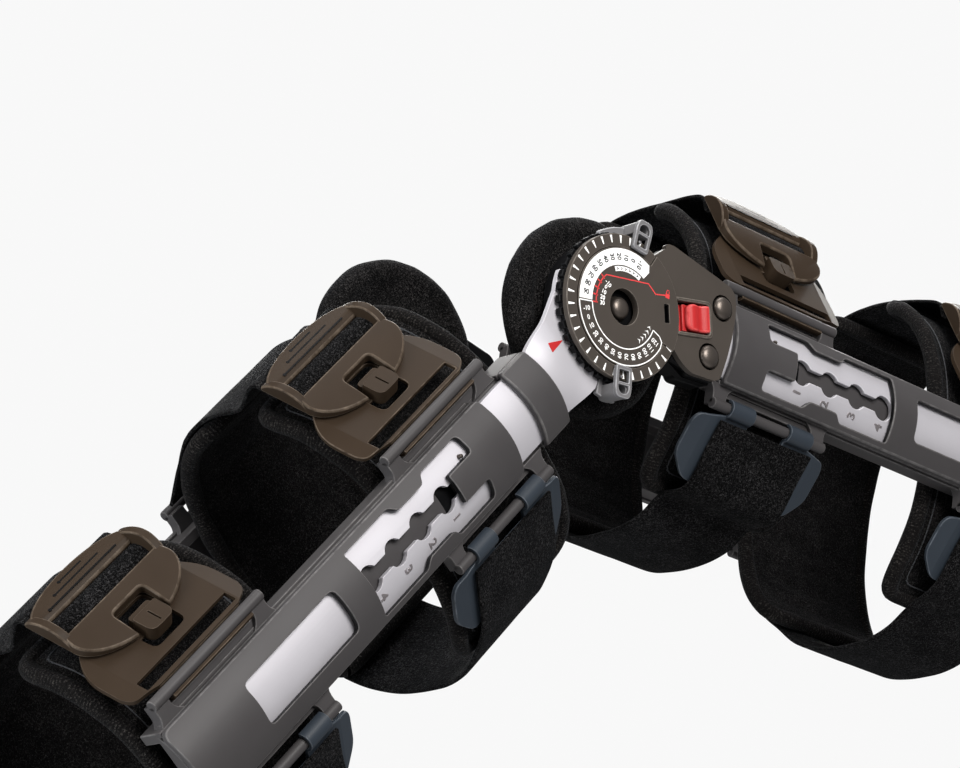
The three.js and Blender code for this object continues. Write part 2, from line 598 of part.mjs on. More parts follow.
// Crowned half disc notched round the stud, a strap slot and a grip
function buckle(cuff) {
  const { from, to, shoulder, width, low, thickness, crown } = BUCKLE;
  const half = width / 2;
  const disc = Array.from({ length: 8 }, (_, i) => {
    const turn = Math.PI * (1 + i / 7);
    return new THREE.Vector2(half * Math.cos(turn), shoulder + (shoulder - from) * Math.sin(turn));
  });
  const outline = [...disc, ...points([[half, to - 6], [half - 6, to], [6 - half, to], [-half, to - 6]])];
  const middle = (from + to) / 2;
  const ridge = [0, 0.25, 0.5, 0.75, 1].map((t) => {
    const s = from + (to - from) * t;
    return new THREE.Vector2(s, low + thickness - crown * ((s - middle) / (to - middle)) ** 2);
  });
  const lens = beam([...ridge, ...points([[to, low], [from, low]])], -half, half);
  const notch = rectangle(-BUCKLE_NOTCH.width / 2, BUCKLE_NOTCH.width / 2, from - 1, BUCKLE_NOTCH.to);
  const inside = half - BUCKLE_SLOT.edge;
  const slot = rectangle(-inside, inside, BUCKLE_SLOT.from, BUCKLE_SLOT.to);
  const above = [low - 1, low + thickness + 1];
  const body = cut(common(plate(outline, ...above), lens), plate(notch, ...above), plate(slot, ...above));
  return onLine(body, cuff, cuff.strap, true);
}

// Plate on the back rod that carries the back strap
function backClip(cuff) {
  const flat = plate(hookedOutline(CLIP, 0), 0, CLIP.thickness);
  return onLine(joined(flat, rodHook(true)), cuff, cuff.rods, false);
}

// From under the buckle across the front of the limb to the right front rod
function frontStrap(cuff) {
  const line = rodLine(cuff, true);
  const under = [PLATE.to + 1.2, BUCKLE_SLOT.to, BUCKLE.to].map((s) => line.at(s, -STRAP.tuck));
  const right = line.at(ROD.radius + STRAP.tuck, -STRAP.tuck);
  right.x *= -1;
  const path = [...under, ...loopArc(cuff, ...STRAP_ARC.front, STRAP.outside, 4), right];
  return band(path, STRAP.thickness, STRAP.stations, () => cuff.strap, () => STRAP.width);
}

// From the right back rod round the back of the limb to the left clip
function backStrap(cuff) {
  const line = rodLine(cuff, false);
  const onClip = [CLIP.to + 1, CLIP.to / 2, 5].map((s) => line.at(s, CLIP.thickness + GAP + 0.2));
  const right = [ROD.radius + STRAP.tuck, CLIP.to / 2, CLIP.to + 1].map((s) => line.at(s, 0));
  right.forEach((p) => { p.x *= -1; });
  const path = [...right, ...loopArc(cuff, ...STRAP_ARC.back, STRAP.outside, 5), ...onClip];
  return band(path, STRAP.thickness, STRAP.stations + 3, () => cuff.rods, () => STRAP.width);
}

// Assembly
const brace = new THREE.Group();
brace.name = "hinged_knee_brace";

function add(group, name, geometry, material) {
  const mesh = new THREE.Mesh(geometryOf(solidOf(geometry)), material.clone());
  mesh.name = name;
  group.add(mesh);
}

function limbGroup(parent, limb) {
  const group = new THREE.Group();
  if (limb === "thigh") {
    group.scale.x = -1;
  } else {
    group.rotation.y = KNEE_FLEXION * DEG;
  }
  parent.add(group);
  return group;
}

for (const side of ["left", "right"]) {
  const half = new THREE.Group();
  half.scale.y = side === "left" ? 1 : -1;
  brace.add(half);
  const limbs = { thigh: limbGroup(half, "thigh"), shin: limbGroup(half, "shin") };
  const hinge = limbs.thigh;
  add(hinge, `${side}_hinge_cover`, hingeCover(), FINISH.cover);
  add(hinge, `${side}_toothed_ring`, toothedRing(), FINISH.black);
  add(hinge, `${side}_hinge_base`, hingeBase(), FINISH.black);
  for (const stop of STOPS) {
    add(hinge, `${side}_${stop.name}`, stopTab(stop), FINISH.tab);
  }
  add(hinge, `${side}_lock_slider`, lockSlider(), FINISH.lock);
  add(hinge, `${side}_pivot_rivet`, pivotRivet(), FINISH.rivet);
  add(hinge, `${side}_front_rivet`, plateRivet(FRONT_RIVET), FINISH.rivet);
  add(hinge, `${side}_back_rivet`, plateRivet(BACK_RIVET), FINISH.rivet);
  add(hinge, `${side}_condyle_pad`, condylePad(side), FINISH.plush);
  add(hinge, `${side}_thigh_bar`, thighBar(), FINISH.bar);
  add(limbs.shin, `${side}_shin_bar`, shinBar(), FINISH.bar);
  for (const [limb, sizes] of Object.entries(LIMBS)) {
    const middles = CUFFS.filter((cuff) => cuff.limb === limb).map((cuff) => cuff.rods);
    add(limbs[limb], `${side}_${limb}_sleeve`, sleeve(sizes, middles), FINISH.sleeve);
  }
  for (const cuff of CUFFS) {
    add(limbs[cuff.limb], `${cuff.name}_${side}_pad`, sidePad(cuff), FINISH.plush);
  }
}

const middleLimbs = { thigh: limbGroup(brace, "thigh"), shin: limbGroup(brace, "shin") };
for (const cuff of CUFFS) {
  const limb = middleLimbs[cuff.limb];
  add(limb, `${cuff.name}_front_strap`, frontStrap(cuff), FINISH.strap);
  add(limb, `${cuff.name}_back_strap`, backStrap(cuff), FINISH.strap);
  add(limb, `${cuff.name}_buckle_plate`, bucklePlate(cuff), FINISH.buckle);
  add(limb, `${cuff.name}_buckle`, buckle(cuff), FINISH.buckle);
  add(limb, `${cuff.name}_back_clip`, backClip(cuff), FINISH.buckle);
}

export default brace;
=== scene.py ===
import math

import bmesh
import bpy
from mathutils import Matrix, Vector, noise


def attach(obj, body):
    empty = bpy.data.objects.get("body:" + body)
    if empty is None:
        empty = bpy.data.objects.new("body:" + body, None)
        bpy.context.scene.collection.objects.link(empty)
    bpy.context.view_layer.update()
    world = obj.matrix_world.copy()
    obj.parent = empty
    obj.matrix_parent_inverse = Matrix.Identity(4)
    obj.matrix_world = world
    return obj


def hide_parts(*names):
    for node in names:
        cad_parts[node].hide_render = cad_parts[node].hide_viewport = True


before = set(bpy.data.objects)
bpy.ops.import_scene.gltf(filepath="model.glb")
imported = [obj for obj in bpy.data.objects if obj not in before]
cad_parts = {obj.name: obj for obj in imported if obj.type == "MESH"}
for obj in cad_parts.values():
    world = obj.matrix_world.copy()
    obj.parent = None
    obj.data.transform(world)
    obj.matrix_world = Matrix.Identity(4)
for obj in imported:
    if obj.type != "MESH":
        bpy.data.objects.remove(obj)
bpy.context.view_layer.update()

# Side bars: one crowned aluminium strip above the knee and one below on each side, blanked from sheet
# and rolled to a shallow crown. Raised figures number the stops of a scalloped slot, and the shin bar
# ends in a round head that turns on the pivot rivet, with a red pointer below it.
MM = 0.001
KNEE = math.radians(54)
SIDES = ("left", "right")
LIMBS = ("thigh", "shin")
BAR_TOP = 82.6
BAR_THICKNESS = 2.6
BAR_HALF = 15.8
BAR_END = 285
BAR_EDGE = 0.45
BAR_MIDDLE = {"thigh": 9.0, "shin": -2.5}
CROWN = 4.2 / BAR_HALF**2
CROWN_RISES = {"thigh": (62, 68), "shin": (34, 50)}
SLEEVE_FROM = {"thigh": 70, "shin": 87}
PIVOT_HOLE = 5.4
FIRST_HOLE = 27
HOLE_COUNT = 5
HOLE_PITCH = 17.4
HOLE_RADIUS = 5.75
SLOT_HALF = 3.0
STAMP_SIZE = 6.2
STAMP_HEIGHT = 0.3
STAMP_OFFSET = -9.4
POINTER = [(32.4, 7.2), (40.6, 6.6), (39.5, 10.9)]
# Near black painted on the walls of the sleeves' windows, as the shade that falls in them.
PAINTED_WALL_SHADE = (12, 12, 13)


def limb_place(limb, side):
    """From a limb's own millimetres (along, forward, outward) to the frame's metres."""
    out = 1 if side == "left" else -1
    c, s = math.cos(KNEE), math.sin(KNEE)
    along, forward = ((-1, 0), (0, 1)) if limb == "thigh" else ((c, -s), (s, c))
    rows = [[along[0], forward[0], 0], [0, 0, out], [along[1], forward[1], 0]]
    return Matrix([[MM * x for x in row] + [0] for row in rows] + [[0, 0, 0, 1]])


def steps_between(low, high, count):
    return [low + (high - low) * i / count for i in range(count + 1)]


def smooth_rise(value, low, high):
    t = min(1.0, max(0.0, (value - low) / (high - low)))
    return t * t * (3 - 2 * t)


def polar(radius, degrees, centre=(0, 0)):
    turn = math.radians(degrees)
    return centre[0] + radius * math.cos(turn), centre[1] + radius * math.sin(turn)


def arc(radius, start, end, centre=(0, 0), step=5):
    count = max(2, math.ceil(abs(end - start) / step))
    return [polar(radius, start + (end - start) * i / count, centre) for i in range(count + 1)]


def circle(radius, step, centre=(0, 0)):
    return arc(radius, 0, 360 - step, centre, step)


def softened(points, radius, steps=4):
    """The same closed outline with its corners rounded; radius may be one number or one for each."""
    radii = radius if isinstance(radius, (list, tuple)) else [radius] * len(points)
    loop = []
    for i, corner in enumerate(points):
        here, last, after = Vector(corner), Vector(points[i - 1]), Vector(points[(i + 1) % len(points)])
        into, out = last - here, after - here
        reach = min(radii[i], 0.49 * into.length, 0.49 * out.length)
        start, end = here + into.normalized() * reach, here + out.normalized() * reach
        for k in range(steps + 1):
            t = k / steps
            loop.append(tuple(start * (1 - t) ** 2 + here * 2 * t * (1 - t) + end * t * t))
    return loop


def facing_out(bm):
    bmesh.ops.recalc_face_normals(bm, faces=bm.faces[:])
    return bm


def round_edges(bm, width, segments=3, least=40):
    """Rounds over the sharp edges and marks their faces, which are the first to be rubbed and which also
    take a painted highlight.
    """
    rubbed_and_highlit = bm.faces.layers.float.get("rubbed_and_highlit") or bm.faces.layers.float.new("rubbed_and_highlit")
    sharp = [e for e in bm.edges if e.is_manifold and e.calc_face_angle() > math.radians(least)]
    rounded = bmesh.ops.bevel(bm, geom=sharp, offset=width, offset_type="OFFSET", segments=segments,
                              profile=0.5, affect="EDGES", clamp_overlap=True, material=-1)
    for face in rounded["faces"]:
        face[rubbed_and_highlit] = 1.0


def blank(loops, low, high, edge=0.0, segments=3):
    """A flat blank between an outline and its holes, with its edges rounded over."""
    bm = bmesh.new()
    rims = []
    for loop in loops:
        kept = [p for i, p in enumerate(loop) if math.dist(p, loop[i - 1]) > 1e-3]
        corners = [bm.verts.new((a, b, low)) for a, b in kept]
        rims += [bm.edges.new(pair) for pair in zip(corners, corners[1:] + corners[:1])]
    bmesh.ops.triangle_fill(bm, use_beauty=True, use_dissolve=False, edges=rims, normal=(0, 0, 1))
    raised = bmesh.ops.extrude_face_region(bm, geom=bm.faces[:], use_keep_orig=True)["geom"]
    upper = [g for g in raised if isinstance(g, bmesh.types.BMVert)]
    bmesh.ops.translate(bm, vec=(0, 0, high - low), verts=upper)
    facing_out(bm)
    bmesh.ops.dissolve_limit(bm, angle_limit=math.radians(0.5), verts=bm.verts[:], edges=bm.edges[:],
                             use_dissolve_boundaries=False, delimit=set())
    if edge:
        round_edges(bm, edge, segments)
    return bm


def sliced(bm, axis, places):
    """Cuts across the mesh so that it can be bent there."""
    normal = [0, 0, 0]
    normal[axis] = 1
    for place in places:
        point = [0, 0, 0]
        point[axis] = place
        bmesh.ops.bisect_plane(bm, geom=bm.verts[:] + bm.edges[:] + bm.faces[:], dist=1e-5,
                               plane_co=point, plane_no=normal)
    return bm


def bent(bm, drop):
    """Moves each point inward by drop(along, forward)."""
    for vert in bm.verts:
        vert.co.z -= drop(vert.co.x, vert.co.y)
    return bm


def gathered(*parts):
    whole = bmesh.new()
    for part in parts:
        mesh = bpy.data.meshes.new("part")
        part.to_mesh(mesh)
        part.free()
        whole.from_mesh(mesh)
        bpy.data.meshes.remove(mesh)
    return whole


def placed(bm, place):
    """Moves a mesh by a matrix, and keeps its faces outward where the matrix mirrors it."""
    bmesh.ops.transform(bm, matrix=place, verts=bm.verts[:])
    if place.determinant() < 0:
        bmesh.ops.reverse_faces(bm, faces=bm.faces[:])
    return bm


def added(name, data):
    """A new object in the scene, at the origin."""
    holder = bpy.data.objects.new(name, data)
    bpy.context.scene.collection.objects.link(holder)
    return holder


def set_piece(name, bm, place, material, body, slot, nodes=(), smooth=38, even=True):
    """Puts a finished mesh in its place in the frame, as a piece that rides on a body."""
    placed(bm, place)
    mesh = bpy.data.meshes.new(name)
    bm.to_mesh(mesh)
    bm.free()
    mesh.materials.append(material)
    mesh.shade_smooth()
    mesh.set_sharp_from_angle(angle=math.radians(smooth))
    piece = added(name, mesh)
    if even:
        weighted = piece.modifiers.new("even_shading", "WEIGHTED_NORMAL")
        weighted.keep_sharp = True
    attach(piece, body)
    if nodes:
        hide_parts(*nodes)
    return piece


def side_piece(limb, side, name, bm, material, slot, node=None, body=None, **shading):
    """One side's piece on a limb, riding on the limb's frame unless another body is given."""
    nodes = [f"{side}_{node}"] if node else ()
    return set_piece(f"{side}_{name}", bm, limb_place(limb, side), material, body or f"{limb}_frame",
                     slot, nodes, **shading)


def curve_mesh(curve):
    """The mesh that a curve makes; the curve itself is removed."""
    holder = added(curve.name, curve)
    bpy.context.view_layer.update()
    solid = holder.evaluated_get(bpy.context.evaluated_depsgraph_get())
    mesh = bpy.data.meshes.new_from_object(solid)
    bm = bmesh.new()
    bm.from_mesh(mesh)
    bpy.data.objects.remove(holder)
    bpy.data.curves.remove(curve)
    bpy.data.meshes.remove(mesh)
    return bm


def figures(text, size, thickness, weight, rounding=0.0):
    """Raised figures lying flat and centred, as a mesh."""
    curve = bpy.data.curves.new("figures", "FONT")
    curve.body = text
    curve.size = size
    curve.align_x = "CENTER"
    curve.align_y = "CENTER"
    curve.extrude = thickness / 2
    curve.offset = weight
    curve.bevel_depth = rounding
    curve.resolution_u = 4
    bm = curve_mesh(curve)
    bmesh.ops.remove_doubles(bm, verts=bm.verts[:], dist=1e-4)
    return bm


def laid(bm, origin, across, up, height):
    """Lays a flat mesh at origin with its own x and y along two directions of the face."""
    return placed(bm, Matrix([[across[0], up[0], 0, origin[0]], [across[1], up[1], 0, origin[1]],
                              [0, 0, 1, height], [0, 0, 0, 1]]))


def fed(tree, socket, value):
    """Gives a socket a link from another socket, or a constant."""
    if isinstance(value, bpy.types.NodeSocket):
        tree.links.new(value, socket)
    else:
        socket.default_value = value


def shader_node(tree, kind, *ordered, **settings):
    """A new node: ordered feeds its first inputs, and settings its named inputs and its options."""
    node = tree.nodes.new(kind)
    for key, value in settings.items():
        if key in node.inputs.keys():
            fed(tree, node.inputs[key], value)
        else:
            setattr(node, key, value)
    for socket, value in zip(node.inputs, ordered):
        fed(tree, socket, value)
    return node


def arithmetic(tree, operation, *values):
    return shader_node(tree, "ShaderNodeMath", *values, operation=operation).outputs["Value"]


def stretched(tree, value, low, high=1.0, to_low=0.0, to_high=1.0):
    """A value brought from one range to another."""
    return shader_node(tree, "ShaderNodeMapRange", value, low, high, to_low, to_high).outputs["Result"]


def mixed(tree, factor, first, second):
    """A colour between two, by a socket or a number."""
    node = shader_node(tree, "ShaderNodeMix", data_type="RGBA")
    for index, value in ((0, factor), (6, first), (7, second)):
        fed(tree, node.inputs[index], value)
    return node.outputs[2]


def shader_group(name, inputs, outputs):
    """An empty node group; an input with no number is a place, and every output is a number."""
    tree = bpy.data.node_groups.new(name, "ShaderNodeTree")
    for label, value in inputs.items():
        kind = "NodeSocketVector" if value is None else "NodeSocketFloat"
        socket = tree.interface.new_socket(label, in_out="INPUT", socket_type=kind)
        if value is not None:
            socket.default_value = value
    for label in outputs:
        tree.interface.new_socket(label, in_out="OUTPUT", socket_type="NodeSocketFloat")
    return tree, tree.nodes.new("NodeGroupInput").outputs, tree.nodes.new("NodeGroupOutput").inputs


def noise_value(tree, **settings):
    return shader_node(tree, "ShaderNodeTexNoise", **settings).outputs["Fac"]


def grain_group():
    """Fine moulded or blasted grain: a height for the bump and a slow mottling of the tone."""
    inputs = {"Vector": None, "Scale": 2200.0}
    tree, given, result = shader_group("fine_grain", inputs, ("Height", "Mottle"))
    spot = given["Vector"]
    fine = noise_value(tree, Vector=spot, Scale=given["Scale"], Detail=3.0, Roughness=0.6)
    slow = noise_value(tree, Vector=spot, Scale=42.0, Detail=4.0, Roughness=0.55)
    fed(tree, result["Height"], fine)
    fed(tree, result["Mottle"], slow)
    return tree


def rub_group():
    """Wear and painted light: rubbed edges that also carry a painted highlight, broken up by a scuff
    pattern, and painted shade on the marked walls of windows.
    """
    tree, given, result = shader_group("edge_wear_light_and_shade", {"Vector": None}, ("Mask", "WallShade"))
    edge = shader_node(tree, "ShaderNodeAttribute", attribute_name="rubbed_and_highlit").outputs["Fac"]
    shaded_wall = shader_node(tree, "ShaderNodeAttribute", attribute_name="shaded_wall").outputs["Fac"]
    scuff = noise_value(tree, Vector=given["Vector"], Scale=220.0, Detail=5.0, Roughness=0.65)
    patches = stretched(tree, scuff, 0.3, 0.72)
    fed(tree, result["Mask"], arithmetic(tree, "MULTIPLY", edge, patches))
    fed(tree, result["WallShade"], shaded_wall)
    return tree


FINE_GRAIN = grain_group()
WEAR_HIGHLIGHT_AND_SHADE = rub_group()


def linear(red, green, blue):
    """A colour as it looks on a screen, 0 to 255, in the scene's own light units."""
    def one(value):
        value /= 255
        return value / 12.92 if value <= 0.04045 else ((value + 0.055) / 1.055) ** 2.4
    return one(red), one(green), one(blue), 1.0


def new_material(name):
    """A material with its tree, its surface's inputs, and each point's place on its object."""
    material = bpy.data.materials.new(name)
    material.use_nodes = True
    tree = material.node_tree
    where = shader_node(tree, "ShaderNodeTexCoord").outputs["Object"]
    return material, tree, tree.nodes["Principled BSDF"].inputs, where


def solid_finish(name, dark, light, rubbed_and_highlit, roughness, metallic=0.0, grain=2200.0, depth=0.02,
                 rough_swing=0.12, gleam=0.2):
    """A hard surface: mottled between two near tones, lighter on rubbed edges that also carry a painted
    highlight, near black on walls painted as shade, with fine grain.
    """
    material, tree, surface, where = new_material(name)
    fine = shader_node(tree, "ShaderNodeGroup", node_tree=FINE_GRAIN, Vector=where, Scale=grain).outputs
    wear_and_light = shader_node(tree, "ShaderNodeGroup", node_tree=WEAR_HIGHLIGHT_AND_SHADE, Vector=where).outputs
    body = mixed(tree, fine["Mottle"], linear(*dark), linear(*light))
    # Rounded edges turn lighter, partly as wear and partly as a painted highlight.
    worn = mixed(tree, wear_and_light["Mask"], body, linear(*rubbed_and_highlit))
    # Marked window walls are painted near black, as shade.
    fed(tree, surface["Base Color"], mixed(tree, wear_and_light["WallShade"], worn, linear(*PAINTED_WALL_SHADE)))
    gloss = stretched(tree, fine["Mottle"], 0.0, 1.0, roughness - rough_swing, roughness + rough_swing)
    fed(tree, surface["Roughness"], gloss)
    bump = shader_node(tree, "ShaderNodeBump", Strength=0.35, Distance=depth * MM, Height=fine["Height"])
    fed(tree, surface["Normal"], bump.outputs["Normal"])
    surface["Metallic"].default_value = metallic
    surface["Specular IOR Level"].default_value = 0.5 if metallic else gleam
    return material


def scalloped_slot(first, middle):
    """One closed line round the row of holes and the slot that joins them."""
    bite = math.degrees(math.asin(SLOT_HALF / HOLE_RADIUS))
    centres = [(first + HOLE_PITCH * i, middle) for i in range(HOLE_COUNT)]
    line = arc(HOLE_RADIUS, bite, 360 - bite, centres[0], 12)
    for centre in centres[1:-1]:
        line += arc(HOLE_RADIUS, 180 + bite, 360 - bite, centre, 12)
    line += arc(HOLE_RADIUS, 180 + bite, 540 - bite, centres[-1], 12)
    for centre in reversed(centres[1:-1]):
        line += arc(HOLE_RADIUS, bite, 180 - bite, centre, 12)
    return line


def crown_drop(limb):
    """How far the crown lies below the bar's middle line; towards the knee the bar is flat."""
    middle = BAR_MIDDLE[limb]
    return lambda u, v: CROWN * (v - middle) ** 2 * smooth_rise(u, *CROWN_RISES[limb])


ALUMINIUM = solid_finish("satin_aluminium", (178, 176, 182), (188, 186, 192), (210, 208, 213), 0.55,
                         metallic=0.25, grain=1500.0, depth=0.012, rough_swing=0.05)
STAMPED = solid_finish("stamped_aluminium", (150, 144, 146), (164, 158, 160), (240, 238, 240), 0.4,
                       metallic=0.72, grain=1500.0, depth=0.012, rough_swing=0.05)
SIGNAL_RED = solid_finish("red_plastic", (168, 36, 38), (180, 43, 44), (214, 90, 90), 0.36,
                          grain=900.0, depth=0.008, rough_swing=0.06)
for limb in LIMBS:
    middle = BAR_MIDDLE[limb]
    low, high = middle - BAR_HALF, middle + BAR_HALF
    corner = BAR_END - 12
    far_end = softened([(corner, low), (BAR_END, low), (BAR_END, high), (corner, high)], [0, 6, 6, 0])
    first_hole = SLEEVE_FROM[limb] + FIRST_HOLE
    holes = [scalloped_slot(first_hole, middle)]
    if limb == "thigh":
        outline = [(44, low + 1.2), (66, low + 1.2), (67, low), *far_end,
                   (67, high), (66, high - 1.2), (44, high - 1.2)]
    else:
        outline = [*arc(24, 68, 331), (27, -13), (27.8, -15.5), (29.5, -17.4), (32, low), *far_end,
                   (51.5, high), (46, high + 1.9), *arc(32.5, 51.2, 68)]
        holes.append(circle(PIVOT_HOLE, 15))
    for side in SIDES:
        strip = blank([outline, *holes], BAR_TOP - BAR_THICKNESS, BAR_TOP, BAR_EDGE)
        sliced(strip, 1, steps_between(low, high, 16)[1:-1])
        sliced(strip, 0, steps_between(*CROWN_RISES[limb], 10))
        side_piece(limb, side, f"{limb}_bar_strip", bent(strip, crown_drop(limb)), ALUMINIUM, "bar",
                   f"{limb}_bar", smooth=50)
        reading = (1 if side == "left" else -1) * (1 if limb == "thigh" else -1)
        stamps = []
        for i in range(1, HOLE_COUNT):
            at = (first_hole + HOLE_PITCH * i - 1, middle + STAMP_OFFSET)
            figure = figures(str(i), STAMP_SIZE, STAMP_HEIGHT, 0.05, 0.14)
            stamps.append(laid(figure, at, (0, reading), (-1, 0), BAR_TOP))
        side_piece(limb, side, f"{limb}_bar_figures", bent(gathered(*stamps), crown_drop(limb)), STAMPED,
                   "bar", even=False)
for side in SIDES:
    pointer = blank([softened(POINTER, 0.5)], BAR_TOP - 0.5, BAR_TOP + 0.14, 0.08, 1)
    sliced(pointer, 0, steps_between(33, 40, 7))
    side_piece("shin", side, "bar_pointer", bent(pointer, crown_drop("shin")), SIGNAL_RED, "lock")

# Hinge base: a black moulded bracket in tiers. A disc behind the shin bar's head takes the pivot, and
# the block beside it holds the thigh bar's tongue, with a pocket on top for the foot of the lock.
LOCK_TURN = 12
BASE_BACK = 72
TONGUE_FLOOR = 79.5
TONGUE_ROOF = 83.1
POCKET_FLOOR = 84.0
BASE_TOP = 86.3
BASE_DISC = 30
HEAD_ROOM = 34.7
HEAD_FROM = 58
HEAD_TO = -20
POCKET_HALF = 7.4
POCKET_END = 53
BASE_EDGE = [(42.5, -17), (58.5, -15.8), (63.2, 0), (64.4, 12), (63.8, 25), (60.5, 28.8), (23, 36)]
TONGUE_EDGE = [(42.5, -16.6), (58, -15.4), (62, -6), (43.6, -6), (43.6, 24), (63.6, 24), (60.2, 28.4),
               (23, 35.6)]
BLACK_PLASTIC = solid_finish("black_plastic", (6, 6, 7), (10, 10, 12), (34, 35, 37), 0.48,
                             grain=1800.0, depth=0.03, gleam=0.08)


def box_loop(a0, a1, b0, b1):
    return [(a0, b0), (a1, b0), (a1, b1), (a0, b1)]


def turned(points, degrees):
    c, s = math.cos(math.radians(degrees)), math.sin(math.radians(degrees))
    return [(a * c - b * s, a * s + b * c) for a, b in points]


# The last corner only steers the rounding of its neighbours, so its own five points are dropped.
outer_edge = softened([*BASE_EDGE, polar(HEAD_ROOM, HEAD_FROM)], 2.5)[:-5]
upper_edge = [(a * 0.985 + 0.5, b * 0.97 + 0.2) for a, b in outer_edge]
inner_edge = arc(HEAD_ROOM, HEAD_FROM, HEAD_TO)
pocket_bite = math.degrees(math.asin(POCKET_HALF / HEAD_ROOM))
pocket_edge = (arc(HEAD_ROOM, HEAD_FROM, LOCK_TURN + pocket_bite)
               + turned([(POCKET_END, POCKET_HALF), (POCKET_END, -POCKET_HALF)], LOCK_TURN)
               + arc(HEAD_ROOM, LOCK_TURN - pocket_bite, HEAD_TO))
for side in SIDES:
    tiers = [
        blank([circle(BASE_DISC, 5), circle(PIVOT_HOLE, 15)], BASE_BACK, TONGUE_FLOOR + 0.1, 0.8),
        blank([box_loop(20, 40, -9, 26)], BASE_BACK + 0.3, TONGUE_FLOOR - 0.1, 0.3),
        blank([outer_edge + inner_edge], BASE_BACK, TONGUE_FLOOR, 0.9),
        blank([TONGUE_EDGE + inner_edge], TONGUE_FLOOR, TONGUE_ROOF),
        blank([upper_edge + inner_edge], TONGUE_ROOF, POCKET_FLOOR),
        blank([upper_edge + pocket_edge], POCKET_FLOOR, BASE_TOP, 0.4),
    ]
    side_piece("thigh", side, "hinge_bracket", gathered(*tiers), BLACK_PLASTIC, "black_plastic",
               "hinge_base")

# Toothed ring: a black moulded ring under the dial's rim with square teeth for the stop tabs to click
# into. It is plain where the cover's plate passes over it. A thin web closes it round the pivot, and a
# collar on it lines the slot that the lock's nose comes through.
RING_RADIUS = 33.2
RING_BACK = 83.2
RING_TOP = 86.2
RING_HOLE = 9
TOOTH_ROOT = RING_RADIUS - 2
TOOTH_PITCH = 10
TEETH_FROM = 68
TEETH_TO = 338


def soft_box(a0, a1, half, radius, steps=4):
    """A box from a0 to a1 and half to each side, with rounded corners."""
    return softened(box_loop(a0, a1, -half, half), radius, steps)


def nose_slot(inset):
    """The slot for the lock's nose, drawn in by inset."""
    return turned(soft_box(23.4 + inset, 26.2 - inset, 4.2 - inset, 0.3, 2), LOCK_TURN)


teeth = []
for start in range(TEETH_FROM, TEETH_TO, TOOTH_PITCH):
    teeth += [polar(RING_RADIUS, start), polar(RING_RADIUS, start + 5.5)]
    teeth += [polar(TOOTH_ROOT, start + 6), polar(TOOTH_ROOT, start + 9.5)]
teeth += arc(TOOTH_ROOT, TEETH_TO + 10, TEETH_FROM + 348)
for side in SIDES:
    ring = blank([teeth, circle(RING_HOLE, 10)], RING_BACK, RING_TOP, 0.35, 2)
    web = blank([circle(RING_HOLE + 0.2, 10), circle(PIVOT_HOLE + 0.2, 10)], 84.6, 85.1)
    collar = blank([nose_slot(0.05), nose_slot(0.5)], RING_TOP - 0.1, 89.7)
    side_piece("thigh", side, "ring_gear", gathered(ring, web, collar), BLACK_PLASTIC, "black_plastic",
               "toothed_ring")

# Hinge cover: one dark grey moulding, a round dial with a lower rim for the marks, and a plate towards
# the thigh. The plate has a window with a raised frame for the lock, and wells for its two rivets.
FRONT_RIVET = (56.2, 18.6)
BACK_RIVET = (51.5, -5.4)
WELL_RADIUS = 6.0
DIAL_TOP = 90
RIM_TOP = DIAL_TOP - 0.5
PLATE_TOP = 89.3
COVER_BACK = 86.6
DIAL_RADIUS = 32
FACE_RADIUS = 26
PIVOT_WELL = 8
PLATE_ROOM = DIAL_RADIUS + 0.1
STEP_FROM = 62
STEP_TO = 341
WINDOW_HALF = 6.7
WINDOW_END = 50
FRAME_HALF = WINDOW_HALF + 1.7
FRAME_END = WINDOW_END + 1.7
PLATE_EDGE = [(30.8, -8.6), (36.5, -13.2), (42.5, -16), (57, -14.9), (59.6, -13), (62.6, -1), (64.4, 12),
              (64.3, 22), (62.8, 27.2), (60, 29.6), (24, 36.8), (19.6, 36.2)]
PLATE_CORNERS = [0.5, 3, 3, 3, 3, 6, 6, 4, 3, 3, 4, 3]
COVER_GREY = solid_finish("cover_grey", (60, 55, 51), (69, 63, 58), (116, 109, 102), 0.5,
                          grain=2600.0, depth=0.03)


def band_loop(inner, outer, start, end):
    return arc(outer, start, end, step=3) + arc(inner, end, start, step=3)


window_bite = math.degrees(math.asin(WINDOW_HALF / PLATE_ROOM))
window_edge = turned([(WINDOW_END - 8, WINDOW_HALF), (WINDOW_END, WINDOW_HALF), (WINDOW_END, -WINDOW_HALF),
                      (WINDOW_END - 8, -WINDOW_HALF)], LOCK_TURN)
plate_outline = (softened(PLATE_EDGE, PLATE_CORNERS) + arc(PLATE_ROOM, 63.7, LOCK_TURN + window_bite)
                 + softened(window_edge, [0, 2, 2, 0]) + arc(PLATE_ROOM, LOCK_TURN - window_bite, -15.6))
frame_edge = [(31.3, WINDOW_HALF), (WINDOW_END, WINDOW_HALF), (WINDOW_END, -WINDOW_HALF),
              (31.3, -WINDOW_HALF), (30.9, -FRAME_HALF), (FRAME_END, -FRAME_HALF), (FRAME_END, FRAME_HALF),
              (30.9, FRAME_HALF)]
frame_outline = turned(softened(frame_edge, [0, 2, 2, 0, 0, 3, 3, 0]), LOCK_TURN)
face_outline = (arc(FACE_RADIUS, STEP_FROM, STEP_TO, step=3)
                + arc(DIAL_RADIUS, STEP_TO, STEP_FROM + 360, step=3))
rim_outline = band_loop(FACE_RADIUS + 0.3, DIAL_RADIUS, STEP_FROM + 0.6, STEP_TO - 0.6)
wells = [arc(WELL_RADIUS, 0, 345, centre, 12) for centre in (FRONT_RIVET, BACK_RIVET)]
